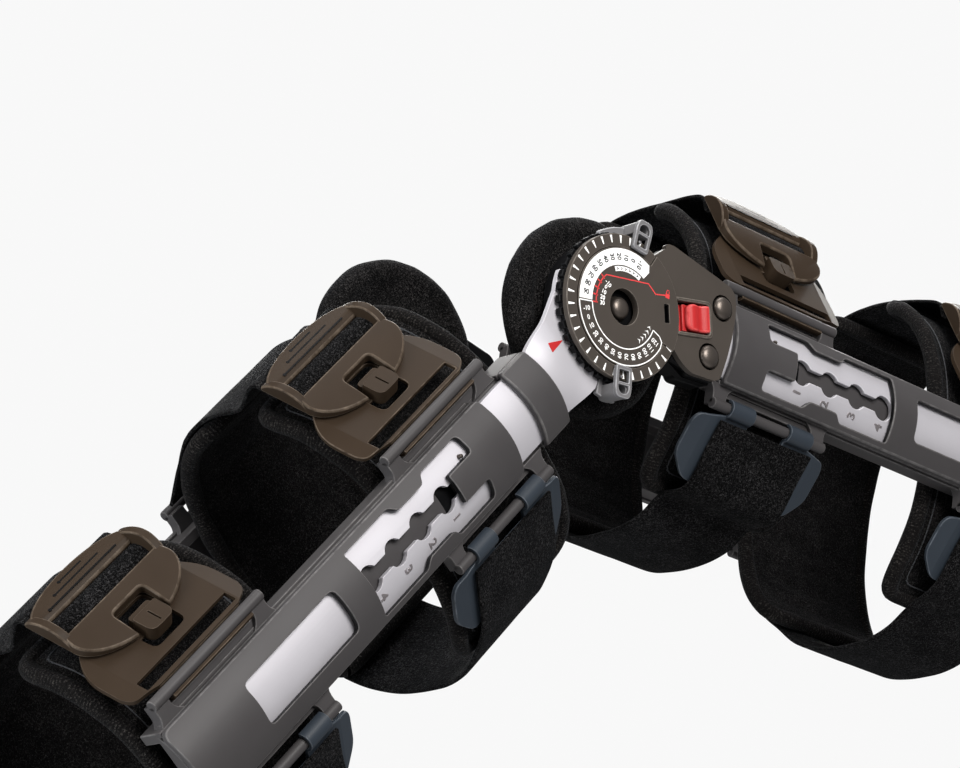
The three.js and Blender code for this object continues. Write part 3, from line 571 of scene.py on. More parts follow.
for side in SIDES:
    parts = [
        blank([face_outline, circle(PIVOT_WELL, 6), nose_slot(0)], COVER_BACK, DIAL_TOP, 0.32),
        blank([rim_outline], COVER_BACK, RIM_TOP, 0.35),
        blank([plate_outline, *wells], COVER_BACK, PLATE_TOP, 0.6),
        blank([frame_outline], PLATE_TOP - 0.9, PLATE_TOP + 0.9, 0.65, 4),
    ]
    side_piece("thigh", side, "dial_cover", gathered(*parts), COVER_GREY, "cover", "hinge_cover")

# Dial marks: ink printed on the cover. A white band with dark figures for straightening, a white outline
# with white figures for bending, wedge ticks on the rim, and a thin red line from a comb to a small
# padlock by the lock. Rows of arrows show the two ways of turning.
MARK = 0.06
LINE_WIDTH = 0.5
BAND_OUTER = 25.4
BAND_INNER = 18.2
BAND_SPLIT = 191


def ink(name, colour, worn):
    """Printed ink, thinned in places."""
    material, tree, surface, where = new_material(name)
    fine = shader_node(tree, "ShaderNodeGroup", node_tree=FINE_GRAIN, Vector=where, Scale=700.0).outputs
    thin = stretched(tree, fine["Height"], 0.5, 0.8)
    fed(tree, surface["Base Color"], mixed(tree, thin, linear(*colour), linear(*worn)))
    surface["Roughness"].default_value = 0.5
    return material


def marked(loop, level):
    return blank([loop], level - MARK / 2, level + MARK)


def stroke(points, width):
    """A thin printed line through points, as one closed outline."""
    left, right = [], []
    for i, point in enumerate(points):
        here = Vector(point)
        back = (here - Vector(points[i - 1])).normalized() if i else None
        ahead = (Vector(points[i + 1]) - here).normalized() if i + 1 < len(points) else None
        way = ((back or ahead) + (ahead or back)).normalized()
        across = Vector((-way.y, way.x)) * width / 2
        left.append(tuple(here + across))
        right.append(tuple(here - across))
    return left + right[::-1]


def arrow(at, radius, half, tail, head, notch):
    """An arrowhead that points round the dial from its tail to its head, in degrees from its place."""
    return [polar(radius + half, at + tail), polar(radius, at + head), polar(radius - half, at + tail),
            polar(radius, at + notch)]


def dial_figures(side, values, radius, places, size, level, weight):
    """A number at each place round the dial, its line of reading along the radius."""
    flip = 1 if side == "left" else -1
    parts = []
    for value, degrees in zip(values, places):
        turn = math.radians(degrees)
        inward = (-math.cos(turn), -math.sin(turn))
        upright = (flip * math.sin(turn), -flip * math.cos(turn))
        flat = figures(str(value), size, MARK, weight)
        parts.append(laid(flat, polar(radius, degrees), inward, upright, level))
    return parts


WHITE_INK = ink("white_ink", (253, 253, 253), (238, 237, 235))
DARK_INK = ink("dark_ink", (12, 11, 12), (34, 32, 32))
RED_INK = ink("red_ink", (214, 58, 60), (190, 62, 60))
white_band = (arc(BAND_OUTER, 74, 189, step=3) + arc(BAND_INNER, 189, 61, step=3)
              + [polar(22.5, 59.5), polar(25.2, 64)])
bend_lines = [
    [*arc(BAND_OUTER, BAND_SPLIT, 334, step=3), polar(24.6, 340), polar(22.5, 343.5), polar(18.4, 345)],
    arc(BAND_INNER, 345, BAND_SPLIT, step=3),
    [polar(BAND_OUTER, BAND_SPLIT), polar(BAND_INNER, BAND_SPLIT)],
]
white_loops = [white_band] + [stroke(line, LINE_WIDTH) for line in bend_lines]
ticks = [[polar(31.3, at - 1.1), polar(31.3, at + 1.1), polar(27.9, at + 0.45), polar(27.9, at - 0.45)]
         for at in steps_between(81, 341, 25)]
arrow_band = band_loop(15.5, 17.6, 66, 117)
white_arrows = [arrow(at, 15.8, 1.2, -2.6, 2.6, -0.2) for at in range(312, 345, 8)]
dark_arrows = [arrow(at, 16.55, 0.85, 2.4, -2.6, 0.2) for at in range(72, 113, 8)]
red_path = arc(16.0, 191.5, 146, step=4) + [(-11.9, 10.6), (11.9, 14.6), (16.6, 11.4), (22.2, 12.8)]
shackle = [(22.7, 13.8), (22.7, 14.8), (23.0, 15.5), (23.8, 15.5), (24.1, 14.8), (24.1, 13.8)]
red_loops = [
    stroke(red_path, 0.55),
    *[stroke([polar(15.2, at), polar(17.9, at)], 0.6) for at in (191, 179.7, 168, 156.5, 146)],
    softened(box_loop(22.2, 24.6, 11.9, 13.9), 0.3, 2),
    stroke(shackle, 0.4),
]
for side in SIDES:
    white = [marked(loop, DIAL_TOP) for loop in white_loops] + [marked(tick, RIM_TOP) for tick in ticks]
    bend_places = [200 + 10.3 * k for k in range(14)]
    white += dial_figures(side, range(-10, 130, 10), 21.7, bend_places, 2.9, DIAL_TOP, 0.045)
    comb_places = (145.5, 155.5, 167.5, 179.7, 190.8)
    white += dial_figures(side, range(-10, 40, 10), 12.5, comb_places, 2.7, DIAL_TOP, 0.06)
    white += [marked(loop, DIAL_TOP) for loop in (arrow_band, *white_arrows)]
    side_piece("thigh", side, "white_marks", gathered(*white), WHITE_INK, "cover", even=False)
    straight_places = [75 + 10.6 * k for k in range(11)]
    dark = dial_figures(side, range(-10, 100, 10), 21.8, straight_places, 3.1, DIAL_TOP + MARK, 0.11)
    dark += [marked(loop, DIAL_TOP + MARK) for loop in dark_arrows]
    side_piece("thigh", side, "dark_marks", gathered(*dark), DARK_INK, "cover", even=False)
    red = [marked(loop, DIAL_TOP) for loop in red_loops]
    side_piece("thigh", side, "red_marks", gathered(*red), RED_INK, "cover", even=False)

# Lock slider: a red moulded button with a finger scoop, on a flat foot that slides in the base's pocket
# under the cover. Pushed towards the pivot, it locks the hinge.
BUTTON_TOP = 91.4
BUTTON_FROM = 36.8
BUTTON_TO = 49.4
BUTTON_HALF = 5.95
SCOOP_LENGTH = 12.7
SCOOP_DEPTH = 1.5
NOSE_DROP = 1.6


def scoop(along):
    """How far the button's top lies below its crest, along its length."""
    t = (along - BUTTON_FROM) / SCOOP_LENGTH
    nose = NOSE_DROP * max(0.0, 1 - t / 0.26) ** 2
    return nose + SCOOP_DEPTH * math.exp(-(((t - 0.61) / 0.19) ** 2))


for side in SIDES:
    foot = blank([soft_box(35.5, 51.8, 6.1, 0.8)], 84.5, 86.4, 0.3)
    toe = blank([soft_box(34.9, 38.4, 5.9, 0.5)], 84.6, 86.45, 0.2)
    ledge = blank([soft_box(35.7, 38.4, 5.9, 0.5)], 86.0, 88.0, 0.4)
    button_loop = soft_box(BUTTON_FROM, BUTTON_TO, BUTTON_HALF, [3.4, 1.2, 1.2, 3.4])
    button = blank([button_loop], 86.1, BUTTON_TOP, 1.0, 5)
    sliced(button, 0, steps_between(BUTTON_FROM + 0.6, BUTTON_TO - 0.2, 24))
    for vert in button.verts:
        if vert.co.z > 88:
            vert.co.z -= scoop(vert.co.x)
    slider = placed(gathered(foot, toe, ledge, button), Matrix.Rotation(math.radians(LOCK_TURN), 4, "Z"))
    side_piece("thigh", side, "lock_button", slider, SIGNAL_RED, "lock", "lock_slider", f"{side}_lock",
               smooth=45)

# Stop tabs: light grey clips on the dial's rim. Each is a loop with a finger window and a round eye, a leg
# down outside the rim, and a flat wing that the shin bar comes to rest against.
TAB_GREY = solid_finish("tab_grey", (100, 99, 101), (114, 113, 115), (176, 176, 180), 0.42,
                        grain=1900.0, depth=0.02)
TAB_TOP = 92.4
LEG_FOOT = 80.2
WING_BACK = 80.1
WING_TOP = 82.5
WING_INNER = 28.2
STOPS = {
    "extension": {"loop": 83, "wing": (77, 111.4), "reach": (40.4, 34.6)},
    "flexion": {"loop": 275, "wing": (265.4, 281), "reach": (38.6, 40.4)},
}
tab_loop = softened([(26.5, -4.3), (36.5, -4.6), (40.5, -3.6), (40.5, 3.6), (36.5, 4.6), (26.5, 4.3)],
                    [1.2, 2, 4, 4, 2, 1.2], 6)
finger_window = soft_box(28.3, 33.6, 2.8, 0.6)
eye = [(34.9, 2.9), (34.9, -2.9), *arc(2.9, -80, 80, (35.9, 0), 20)]
leg_loops = [soft_box(34.1, 40.3, 3.7, [0.4, 2.5, 2.5, 0.4]), arc(2.3, 0, 330, (36.6, 0), 20)]
for side in SIDES:
    for stop, at in STOPS.items():
        clip = blank([tab_loop, finger_window, eye], TAB_TOP - 2, TAB_TOP, 0.55)
        leg = blank(leg_loops, LEG_FOOT, TAB_TOP - 1.4, 0.3)
        peg = blank([soft_box(30.4, 31.6, 0.6, 0.3)], DIAL_TOP + 0.1, TAB_TOP - 1.4, 0.2)
        finger = placed(gathered(clip, leg, peg), Matrix.Rotation(math.radians(at["loop"]), 4, "Z"))
        reaches = zip(steps_between(*at["reach"], 8), steps_between(*at["wing"], 8))
        outer = [polar(radius, degrees) for radius, degrees in reaches]
        wing = blank([outer + arc(WING_INNER, *reversed(at["wing"]))], WING_BACK, WING_TOP, 0.5)
        side_piece("thigh", side, f"{stop}_tab", gathered(finger, wing), TAB_GREY, "tab", f"{stop}_stop",
                   f"{side}_{stop}")

# Rivets: turned steel with a dark plated finish. The pivot is a tall dome at the bottom of the dial's
# well, and two low domes hold the cover's plate and the thigh bar's tongue to the base.
GUNMETAL = solid_finish("gunmetal", (92, 85, 80), (105, 97, 91), (140, 134, 127), 0.38,
                        metallic=0.85, grain=1200.0, depth=0.006, rough_swing=0.05)
PIVOT_LINE = [(0, 73), (5, 73), (5, 82.9), (7.2, 83.0), (7.4, 83.3), (7.4, 84.2), (7.1, 84.5), (5.4, 84.6),
              (5.0, 84.9), (4.9, 86.6), (4.7, 87.4), (4.2, 88.1), (3.4, 88.7), (2.3, 89.05), (1.1, 89.2),
              (0, 89.25)]
HEAD_LINE = [(0, 73), (2.4, 73), (2.4, 88.2), (4.9, 88.4), (5.1, 88.9), (4.9, 89.9), (4.4, 90.6),
             (3.5, 91.2), (2.4, 91.55), (1.2, 91.7), (0, 91.75)]
RIVETS = {
    "pivot": (PIVOT_LINE, (0, 0)),
    "front": (HEAD_LINE, FRONT_RIVET),
    "back": (HEAD_LINE, BACK_RIVET),
}


def moved(bm, along, forward, outward):
    bmesh.ops.translate(bm, vec=(along, forward, outward), verts=bm.verts[:])
    return bm


def lathe(profile, centre=(0, 0), steps=48):
    """A turned piece from radius and height pairs, about a line through centre."""
    bm = bmesh.new()
    corners = [bm.verts.new((radius, 0, height)) for radius, height in profile]
    for pair in zip(corners, corners[1:]):
        bm.edges.new(pair)
    bmesh.ops.spin(bm, geom=bm.verts[:] + bm.edges[:], cent=(0, 0, 0), axis=(0, 0, 1), angle=math.tau,
                   steps=steps, use_merge=True, use_duplicate=False)
    bmesh.ops.remove_doubles(bm, verts=bm.verts[:], dist=1e-4)
    return moved(facing_out(bm), *centre, 0)


for side in SIDES:
    for rivet, (line, centre) in RIVETS.items():
        side_piece("thigh", side, f"{rivet}_dome", lathe(line, centre), GUNMETAL, "rivet",
                   f"{rivet}_rivet", smooth=50, even=False)

# Condyle pads: thick round foam pads covered in black plush, with a rolled rim sewn round a flat middle.
# Each is pressed on the back of its hinge with hook tape, the right one a little off centre.
PAD_CENTRE = {"left": (0, 0), "right": (-3, 7)}


def pile_group():
    """Short pile: fine broken fibres over slow patches where the nap lies another way."""
    inputs = {"Vector": None, "Scale": 900.0}
    tree, given, result = shader_group("short_pile", inputs, ("Height", "TipAndGlint"))
    spot, scale = given["Vector"], given["Scale"]
    fibre = noise_value(tree, Vector=spot, Scale=scale, Detail=2.0, Roughness=0.6, Distortion=1.2)
    loops = shader_node(tree, "ShaderNodeTexVoronoi", feature="SMOOTH_F1", Smoothness=0.5, Vector=spot,
                        Scale=scale).outputs["Distance"]
    nap = noise_value(tree, Vector=spot, Scale=60.0, Detail=3.0)
    lean = stretched(tree, nap, 0.0, 1.0, 0.85, 1.15)
    fed(tree, result["Height"], arithmetic(tree, "SUBTRACT", fibre, loops))
    fed(tree, result["TipAndGlint"], arithmetic(tree, "MULTIPLY", fibre, lean))
    return tree


SHORT_PILE = pile_group()


def pile_finish(name, root, tip_and_glint, scale, depth, sheen, strength=0.9):
    """Plush or loop fabric: dark at the root, paler at the fibre tips, whose pale specks are partly the
    fibres' tone and partly painted glints, with a soft sheen.
    """
    material, tree, surface, where = new_material(name)
    pile = shader_node(tree, "ShaderNodeGroup", node_tree=SHORT_PILE, Vector=where, Scale=scale).outputs
    ends = stretched(tree, pile["TipAndGlint"], 0.5, 0.72)
    fed(tree, surface["Base Color"], mixed(tree, ends, linear(*root), linear(*tip_and_glint)))
    bump = shader_node(tree, "ShaderNodeBump", Strength=strength, Distance=depth * MM,
                       Height=pile["Height"])
    fed(tree, surface["Normal"], bump.outputs["Normal"])
    for label, value in (("Roughness", 0.92), ("Specular IOR Level", 0.05), ("Sheen Weight", sheen),
                         ("Sheen Roughness", 0.4), ("Sheen Tint", (0.6, 0.66, 0.76, 1))):
        surface[label].default_value = value
    return material


PLUSH = pile_finish("black_plush", (5, 5, 5), (58, 56, 56), 1500.0, 0.4, 0.03)


def ruffled(bm, size, height):
    """Small soft unevenness along the normals, the same at each run."""
    bm.normal_update()
    for vert in bm.verts:
        vert.co += vert.normal * height * noise.noise(vert.co / size)
    return bm


def oval(centre, wide, tall, angles):
    return [(centre[0] + wide * math.cos(math.radians(a)), centre[1] + tall * math.sin(math.radians(a)))
            for a in angles]


# The pad in section: flat back, rolled rim, and a face that dips inside the rim.
rolled_profile = [(0, 60.6), (18, 60.6), (28, 60.2), (32.2, 59.6),
                  *oval((37.6, 64.3), 6.3, 7.1, range(-125, 126, 12)),
                  (32.4, 69.2), (31.4, 69.8), (27, 71.0), (16, 71.4), (0, 71.4)]
for side in SIDES:
    disc = ruffled(lathe(rolled_profile, PAD_CENTRE[side], 96), 9.0, 0.5)
    pad = side_piece("thigh", side, "condyle_cushion", disc, PLUSH, "plush", "condyle_pad",
                     smooth=80, even=False)

# Sleeves: grey mouldings that slide on the bars. A crowned shell over the bar has a window on the stop
# holes with a sprung tongue, and a second window below; a trough under the bar carries it, and two rods
# on short arms stand off each side for the straps.
SLEEVE_TOP = 86
SLEEVE_HALF = 18.6
SLEEVE_END = 302
SHELL_GAP = 0.5
COLLAR_FROM = 51.5
COLLAR_TO = 69
TROUGH_HALF = 16.3
TROUGH_FLOOR = 79.3
TROUGH_BACK = 64
WALL_TOP = 77.0
NECK_WALL_TOP = 74.6
KEEL_HALF = 14
KEEL_DEPTH = 73
RAIL_HALF = 18
SHELF_HALF = 33
SHADOW_PATCH_FROM = 36
SHADOW_PATCH_TO = 44.6
NUB_AT = (25.4, 8.0)
NUB_LINE = [(0, 81), (0.9, 81), (0.9, 83.4), (0.6, 83.8), (0, 83.9)]
ROD_OUT = 76
ROD_OFFSET = 27.6
ROD_SPAN = 69
ROD_RADIUS = 2.5
RODS = {"thigh": (102.5, 263), "shin": (106.5, 261)}
SLEEVE_GREY = solid_finish("sleeve_grey", (60, 58, 59), (68, 66, 67), (104, 102, 102), 0.46,
                           grain=2400.0, depth=0.025)


def latch_window(start):
    """Window over the stop holes: two arms beside the tongue, and a bump in each side."""
    half = [(21, 15.4), (46.5, 15.4), (50, 11.8), (67, 11.8), (70.5, 15.4), (100.5, 15.4)]
    tongue = [(21, -6.8), (38, -6.8), (38, 6.8), (21, 6.8)]
    points = half + [(u, -v) for u, v in reversed(half)] + tongue
    radii = [2.2, 1.5, 1.5, 1.5, 1.5, 1.2, 1.2, 1.5, 1.5, 1.5, 1.5, 2.2, 2.2, 1.0, 1.0, 2.2]
    return softened([(u + start, v) for u, v in points], radii)


def sleeve_drop(along, forward):
    return CROWN * forward * forward


def trough(wall):
    """Section of the part under the bar, as points forward and outward."""
    floor = [(v, TROUGH_FLOOR - CROWN * v * v) for v in steps_between(-TROUGH_HALF, TROUGH_HALF, 12)]
    return [(-SLEEVE_HALF, TROUGH_BACK), (-SLEEVE_HALF, wall), (-TROUGH_HALF, wall), *floor,
            (TROUGH_HALF, wall), (SLEEVE_HALF, wall), (SLEEVE_HALF, TROUGH_BACK), (KEEL_HALF, TROUGH_BACK),
            (KEEL_HALF, KEEL_DEPTH), (-KEEL_HALF, KEEL_DEPTH), (-KEEL_HALF, TROUGH_BACK)]


def run_along(section, start, end, edge=0.5):
    """A section run along the limb from start to end."""
    bm = blank([section], start, end, edge)
    for vert in bm.verts:
        vert.co = (vert.co.z, vert.co.x, vert.co.y)
    return facing_out(bm)


def round_bar(start, end, forward, outward, radius):
    bm = bmesh.new()
    turn = Matrix.Translation(((start + end) / 2, forward, outward)) @ Matrix.Rotation(math.pi / 2, 4, "Y")
    bmesh.ops.create_cone(bm, cap_ends=True, segments=24, radius1=radius, radius2=radius,
                          depth=end - start, matrix=turn)
    round_edges(bm, 0.5, 2, 60)
    return bm


def strap_rods(centre):
    """A rod on each side of the sleeve, on two arms that sweep out from its walls."""
    parts = []
    start, end = centre - ROD_SPAN / 2, centre + ROD_SPAN / 2
    for way in (-1, 1):
        parts.append(round_bar(start, end, way * ROD_OFFSET, ROD_OUT, ROD_RADIUS))
        for near, lean in ((start, 1), (end, -1)):
            arm = [(0, ROD_OFFSET), (0, 21), (-2.5, 17.8), (13, 17.8), (8, 21.5), (8, ROD_OFFSET)]
            loop = softened([(near + u * lean, way * v) for u, v in arm], [0.5, 3, 0, 0, 3, 0.5])
            parts.append(blank([loop], 70.8, 76.6, 0.7))
    return parts


def marked_deep(top, start):
    """Marks the walls of a shell's windows, to be painted near black as shade."""
    top.normal_update()
    shaded_wall = top.faces.layers.float.new("shaded_wall")
    for face in top.faces:
        at = face.calc_center_median()
        if abs(face.normal.z) < 0.4 and abs(at.y) < 16 and start + 15 < at.x < SLEEVE_END - 8:
            face[shaded_wall] = 1.0
    return top


for limb in LIMBS:
    start = SLEEVE_FROM[limb]
    centre_line = BAR_MIDDLE[limb]
    carrier = f"{limb}_cuffs"
    for side in SIDES:
        shells = [[soft_box(start, SLEEVE_END, SLEEVE_HALF, [2, 5, 5, 2]), latch_window(start),
                   soft_box(start + 116, start + 175, 10, 3)]]
        troughs = [run_along(trough(WALL_TOP), start + 0.3, SLEEVE_END - 2)]
        if limb == "shin":
            shells.append([soft_box(COLLAR_FROM, COLLAR_TO, SLEEVE_HALF, 1.5)])
            troughs.append(run_along(trough(WALL_TOP), COLLAR_FROM + 0.5, COLLAR_TO - 0.2))
            troughs.append(run_along(trough(NECK_WALL_TOP), COLLAR_TO - 1, start + 1, 0.3))
        tops = []
        for loops in shells:
            # The window walls are marked so that the finish paints them near black, as shade.
            top = marked_deep(blank(loops, BAR_TOP + SHELL_GAP, SLEEVE_TOP, 0.8, 4), start)
            sliced(top, 1, steps_between(-SLEEVE_HALF, SLEEVE_HALF, 20)[1:-1])
            tops.append(bent(top, sleeve_drop))
        rails = []
        for way in (-1, 1):
            ridge = box_loop(way * RAIL_HALF, way * 19.8, 73.4, 75.4)
            rails.append(run_along(ridge, start + 2, SLEEVE_END - 5, 0.4))
        for way in (-1, 1):
            shelf = box_loop(way * RAIL_HALF, way * 22.6, 71.6, 74.4)
            rails += [run_along(shelf, at - SHELF_HALF, at + SHELF_HALF, 0.6) for at in RODS[limb]]
        rods = [part for at in RODS[limb] for part in strap_rods(at)]
        shape = moved(gathered(*tops, *troughs, *rods, *rails), 0, centre_line, 0)
        side_piece(limb, side, f"{limb}_slide_sleeve", shape, SLEEVE_GREY, "sleeve", f"{limb}_sleeve",
                   carrier)
        # A thin black sheet on the trough's floor under the latch window is painted shadow, standing for
        # the dark recess there.
        shadow_patch = blank([soft_box(start + SHADOW_PATCH_FROM, start + SHADOW_PATCH_TO, 6.2, 0.5)], 79.2, 79.5)
        bent(sliced(shadow_patch, 1, steps_between(-6, 6, 6)), sleeve_drop)
        side_piece(limb, side, f"{limb}_latch_well", moved(shadow_patch, 0, centre_line, 0), BLACK_PLASTIC,
                   "black_plastic", body=carrier)
        nub = lathe(NUB_LINE, (start + NUB_AT[0], centre_line + NUB_AT[1]), 20)
        side_piece(limb, side, f"{limb}_latch_nub", nub, GUNMETAL, "rivet", body=carrier)

# Cuff pads: two plush-covered foam panels inside each strap, left and right. Each is a curved panel with
# rounded ends whose edge is wrapped in a thick rolled binding, with a row of stitches inside the roll.
HALF_BREADTH = 57.5
FULLNESS = 2 / 2.4
PAD_FRONT = 80
PAD_BACK = -58
PAD_WIDTH = 88
PAD_THICKNESS = 3.6
PAD_OUTSIDE = 3.9
PAD_INSET = 4.5
FACE_RISE = 0.7
FACE_RISE_OVER = 14
SEAM_INSET = 11.5
SEAM_OUTSIDE = 4.35
SEAM_DEPTH = 0.7
SEAM_HALF = 1.6
EDGE_HELD = 5.5
SWELL_CAP = 1.2
SWELL_FRAMES = 20
ROLL_INSET = 4.2
ROLL_OUTSIDE = 3.0
ROLL_RADIUS = 3.9
RIB_PITCH = 1.3
STITCH_LENGTH = 2.3
STITCH_RADIUS = 0.4
# A cuff's row gives its limb, its pad, rods and strap along it, its oval's middle and half depth, the
# slope of its buckle in degrees and the lean of its pad.
CUFF_COLUMNS = ("limb", "pad", "rods", "strap", "middle", "depth", "tilt", "lean")
CUFF_ROWS = {
    "lower_thigh": ("thigh", 107, 102.5, 108, 14, 72, 56, 4),
    "upper_thigh": ("thigh", 262, 263, 265, 12.5, 79, 58, 3),
    "upper_shin": ("shin", 99, 106.5, 109.5, -12.5, 67, 43, 0),
    "lower_shin": ("shin", 259, 261, 263, -9, 60, 42, 0),
}
CUFFS = {name: dict(zip(CUFF_COLUMNS, row)) for name, row in CUFF_ROWS.items()}
THREAD = solid_finish("grey_thread", (52, 53, 56), (70, 72, 76), (90, 92, 96), 0.7,
                      grain=4000.0, depth=0.05)


def ribbed_finish(name, root, tip_and_glint, scale, depth, sheen):
    """Pile fabric gathered into ribs across a roll, counted by the mesh's own run attribute, with painted
    shade in the grooves between the ribs.
    """
    material = pile_finish(name, root, tip_and_glint, scale, depth, sheen)
    tree = material.node_tree
    surface = tree.nodes["Principled BSDF"].inputs
    run = shader_node(tree, "ShaderNodeAttribute", attribute_name="run").outputs["Fac"]
    where = shader_node(tree, "ShaderNodeTexCoord").outputs["Object"]
    wander = noise_value(tree, Vector=where, Scale=160.0, Detail=2.0)
    uneven = arithmetic(tree, "MULTIPLY_ADD", wander, 5.0, run)
    wave = arithmetic(tree, "SINE", arithmetic(tree, "MULTIPLY", uneven, math.tau / RIB_PITCH))
    share = stretched(tree, wave, -1.0)
    pile_colour = surface["Base Color"].links[0].from_socket
    # The grooves between the ribs take the dark root colour, as painted shade.
    fed(tree, surface["Base Color"], mixed(tree, share, linear(*root), pile_colour))
    pile_normal = surface["Normal"].links[0].from_socket
    ribs = shader_node(tree, "ShaderNodeBump", Strength=0.35, Distance=0.2 * MM, Height=share,
                       Normal=pile_normal)
    fed(tree, surface["Normal"], ribs.outputs["Normal"])
    return material


BINDING = ribbed_finish("plush_binding", (15, 14, 14), (70, 67, 65), 1300.0, 0.35, 0.04)


def cuff_piece(name, bm, place, material, slot, node=None, **shading):
    """A piece of a cuff, riding with the cuffs of the limb that its name tells."""
    nodes = [node] if node else ()
    limb = "thigh" if "thigh" in name else "shin"
    return set_piece(name, bm, place, material, f"{limb}_cuffs", slot, nodes, **shading)


def loop_point(cuff, degrees, outside):
    """A point of the oval round the limb, as outward and forward."""
    c, s = math.cos(math.radians(degrees)), math.sin(math.radians(degrees))
    return ((HALF_BREADTH + outside) * math.copysign(abs(c) ** FULLNESS, c),
            cuff["middle"] + (cuff["depth"] + outside) * math.copysign(abs(s) ** FULLNESS, s))


def even_places(points, count):
    """Where even steps along a line of points fall, as an index and a share each, and its length."""
    run = [0.0]
    for a, b in zip(points, points[1:]):
        run.append(run[-1] + (b - a).length)
    found, k = [], 0
    for target in steps_between(0, run[-1], count):
        while k < len(points) - 2 and run[k + 1] < target:
            k += 1
        found.append((k, (target - run[k]) / max(1e-9, run[k + 1] - run[k])))
    return found, run[-1]


def even_angles(cuff, start, end, count):
    """Angles along the oval that lie at even distances on it, and the length that they span."""
    fine = steps_between(start, end, 240)
    places, length = even_places([Vector(loop_point(cuff, a, 0)) for a in fine], count)
    return [fine[k] + (fine[k + 1] - fine[k]) * share for k, share in places], length


def end_narrowing(t, inset):
    """Half the panel's width at a share t of its length, with round ends."""
    near = min(t, 1 - t) / 0.12
    share = 1.0 if near >= 1 else 0.72 + 0.28 * math.sqrt(max(0.0, 1 - (1 - near) ** 2))
    return PAD_WIDTH / 2 * share - inset


def panel_point(cuff, angles, t, across, outside):
    """A point of the panel: t along the oval, across in millimetres from its middle line."""
    spot = t * (len(angles) - 1)
    k = min(int(spot), len(angles) - 2)
    degrees = angles[k] + (angles[k + 1] - angles[k]) * (spot - k)
    outward, forward = loop_point(cuff, degrees, outside)
    along = cuff["pad"] + cuff["lean"] * (forward - cuff["middle"]) / cuff["depth"] + across
    return Vector((along, forward, outward))


def panel_edge(cuff, angles, length, inset, outside, count):
    """Points round the panel's edge, inset from it, at even spacing."""
    cut = inset / length
    ts = steps_between(cut, 1 - cut, 90)
    half = end_narrowing(cut, inset)
    spots = [(t, end_narrowing(t, inset)) for t in ts]
    spots += [(1 - cut, across) for across in steps_between(half, -half, 24)[1:-1]]
    spots += [(t, -end_narrowing(t, inset)) for t in reversed(ts)]
    spots += [(cut, across) for across in steps_between(-half, half, 24)[1:-1]]
    rim = [panel_point(cuff, angles, t, across, outside) for t, across in spots + spots[:1]]
    places, _ = even_places(rim, count)
    points = [rim[k].lerp(rim[k + 1], share) for k, share in places[:count]]
    for _ in range(3):
        points = [(points[i - 1] + points[i] * 2 + points[(i + 1) % count]) / 4 for i in range(count)]
    return points


def tube(points, radius, sides, swell):
    """A round roll along points, as a mesh that knows how far along the roll each ring is."""
    curve = bpy.data.curves.new("roll", "CURVE")
    curve.dimensions = "3D"
    curve.bevel_depth = radius
    curve.bevel_resolution = sides
    spline = curve.splines.new("POLY")
    spline.points.add(len(points) - 1)
    for point, spot in zip(spline.points, points):
        point.co = (*spot, 1)
        point.radius = 1 + swell * noise.noise(Vector(spot) / 14)
    bm = curve_mesh(curve)
    run = bm.verts.layers.float.new("run")
    ring = len(bm.verts) // len(points)
    pitch = (points[1] - points[0]).length
    for vert in bm.verts:
        vert[run] = vert.index // ring * pitch
    return facing_out(bm)


def inflated(bm, held):
    """Lets a closed cover swell for a moment like a filled cushion, its sewn points held fast."""
    mesh = bpy.data.meshes.new("cover")
    bm.to_mesh(mesh)
    mesh.transform(Matrix.Scale(MM, 4))
    cover = added("cover", mesh)
    cover.vertex_groups.new(name="held").add(held, 1.0, "REPLACE")
    cloth = cover.modifiers.new("swell", "CLOTH")
    cloth.settings.quality = 5
    cloth.settings.mass = 0.2
    cloth.settings.bending_stiffness = 0.3
    cloth.settings.use_pressure = True
    cloth.settings.uniform_pressure_force = 4
    cloth.settings.vertex_group_mass = "held"
    cloth.settings.effector_weights.gravity = 0
    cloth.point_cache.frame_start = 1
    cloth.point_cache.frame_end = SWELL_FRAMES
    for moment in range(1, SWELL_FRAMES + 1):
        bpy.context.scene.frame_set(moment)
    swollen = cover.evaluated_get(bpy.context.evaluated_depsgraph_get()).data
    moves = [1000 * (end.co - start.co) for start, end in zip(mesh.vertices, swollen.vertices)]
    for vert, move in zip(bm.verts, moves):
        vert.co += move * min(1.0, SWELL_CAP / max(move.length, 1e-9))
    bpy.context.scene.frame_set(1)
    bpy.data.objects.remove(cover)
    bpy.data.meshes.remove(mesh)


def stitch_row(points):
    """Short threads lying along a line of points."""
    parts = bmesh.new()
    for here, ahead in zip(points, points[1:]):
        way = (ahead - here).normalized()
        place = Matrix.Translation(here) @ way.to_track_quat("Z", "Y").to_matrix().to_4x4()
        bmesh.ops.create_cone(parts, cap_ends=True, segments=5, radius1=STITCH_RADIUS,
                              radius2=STITCH_RADIUS * 0.7, depth=STITCH_LENGTH, matrix=place)
    return parts


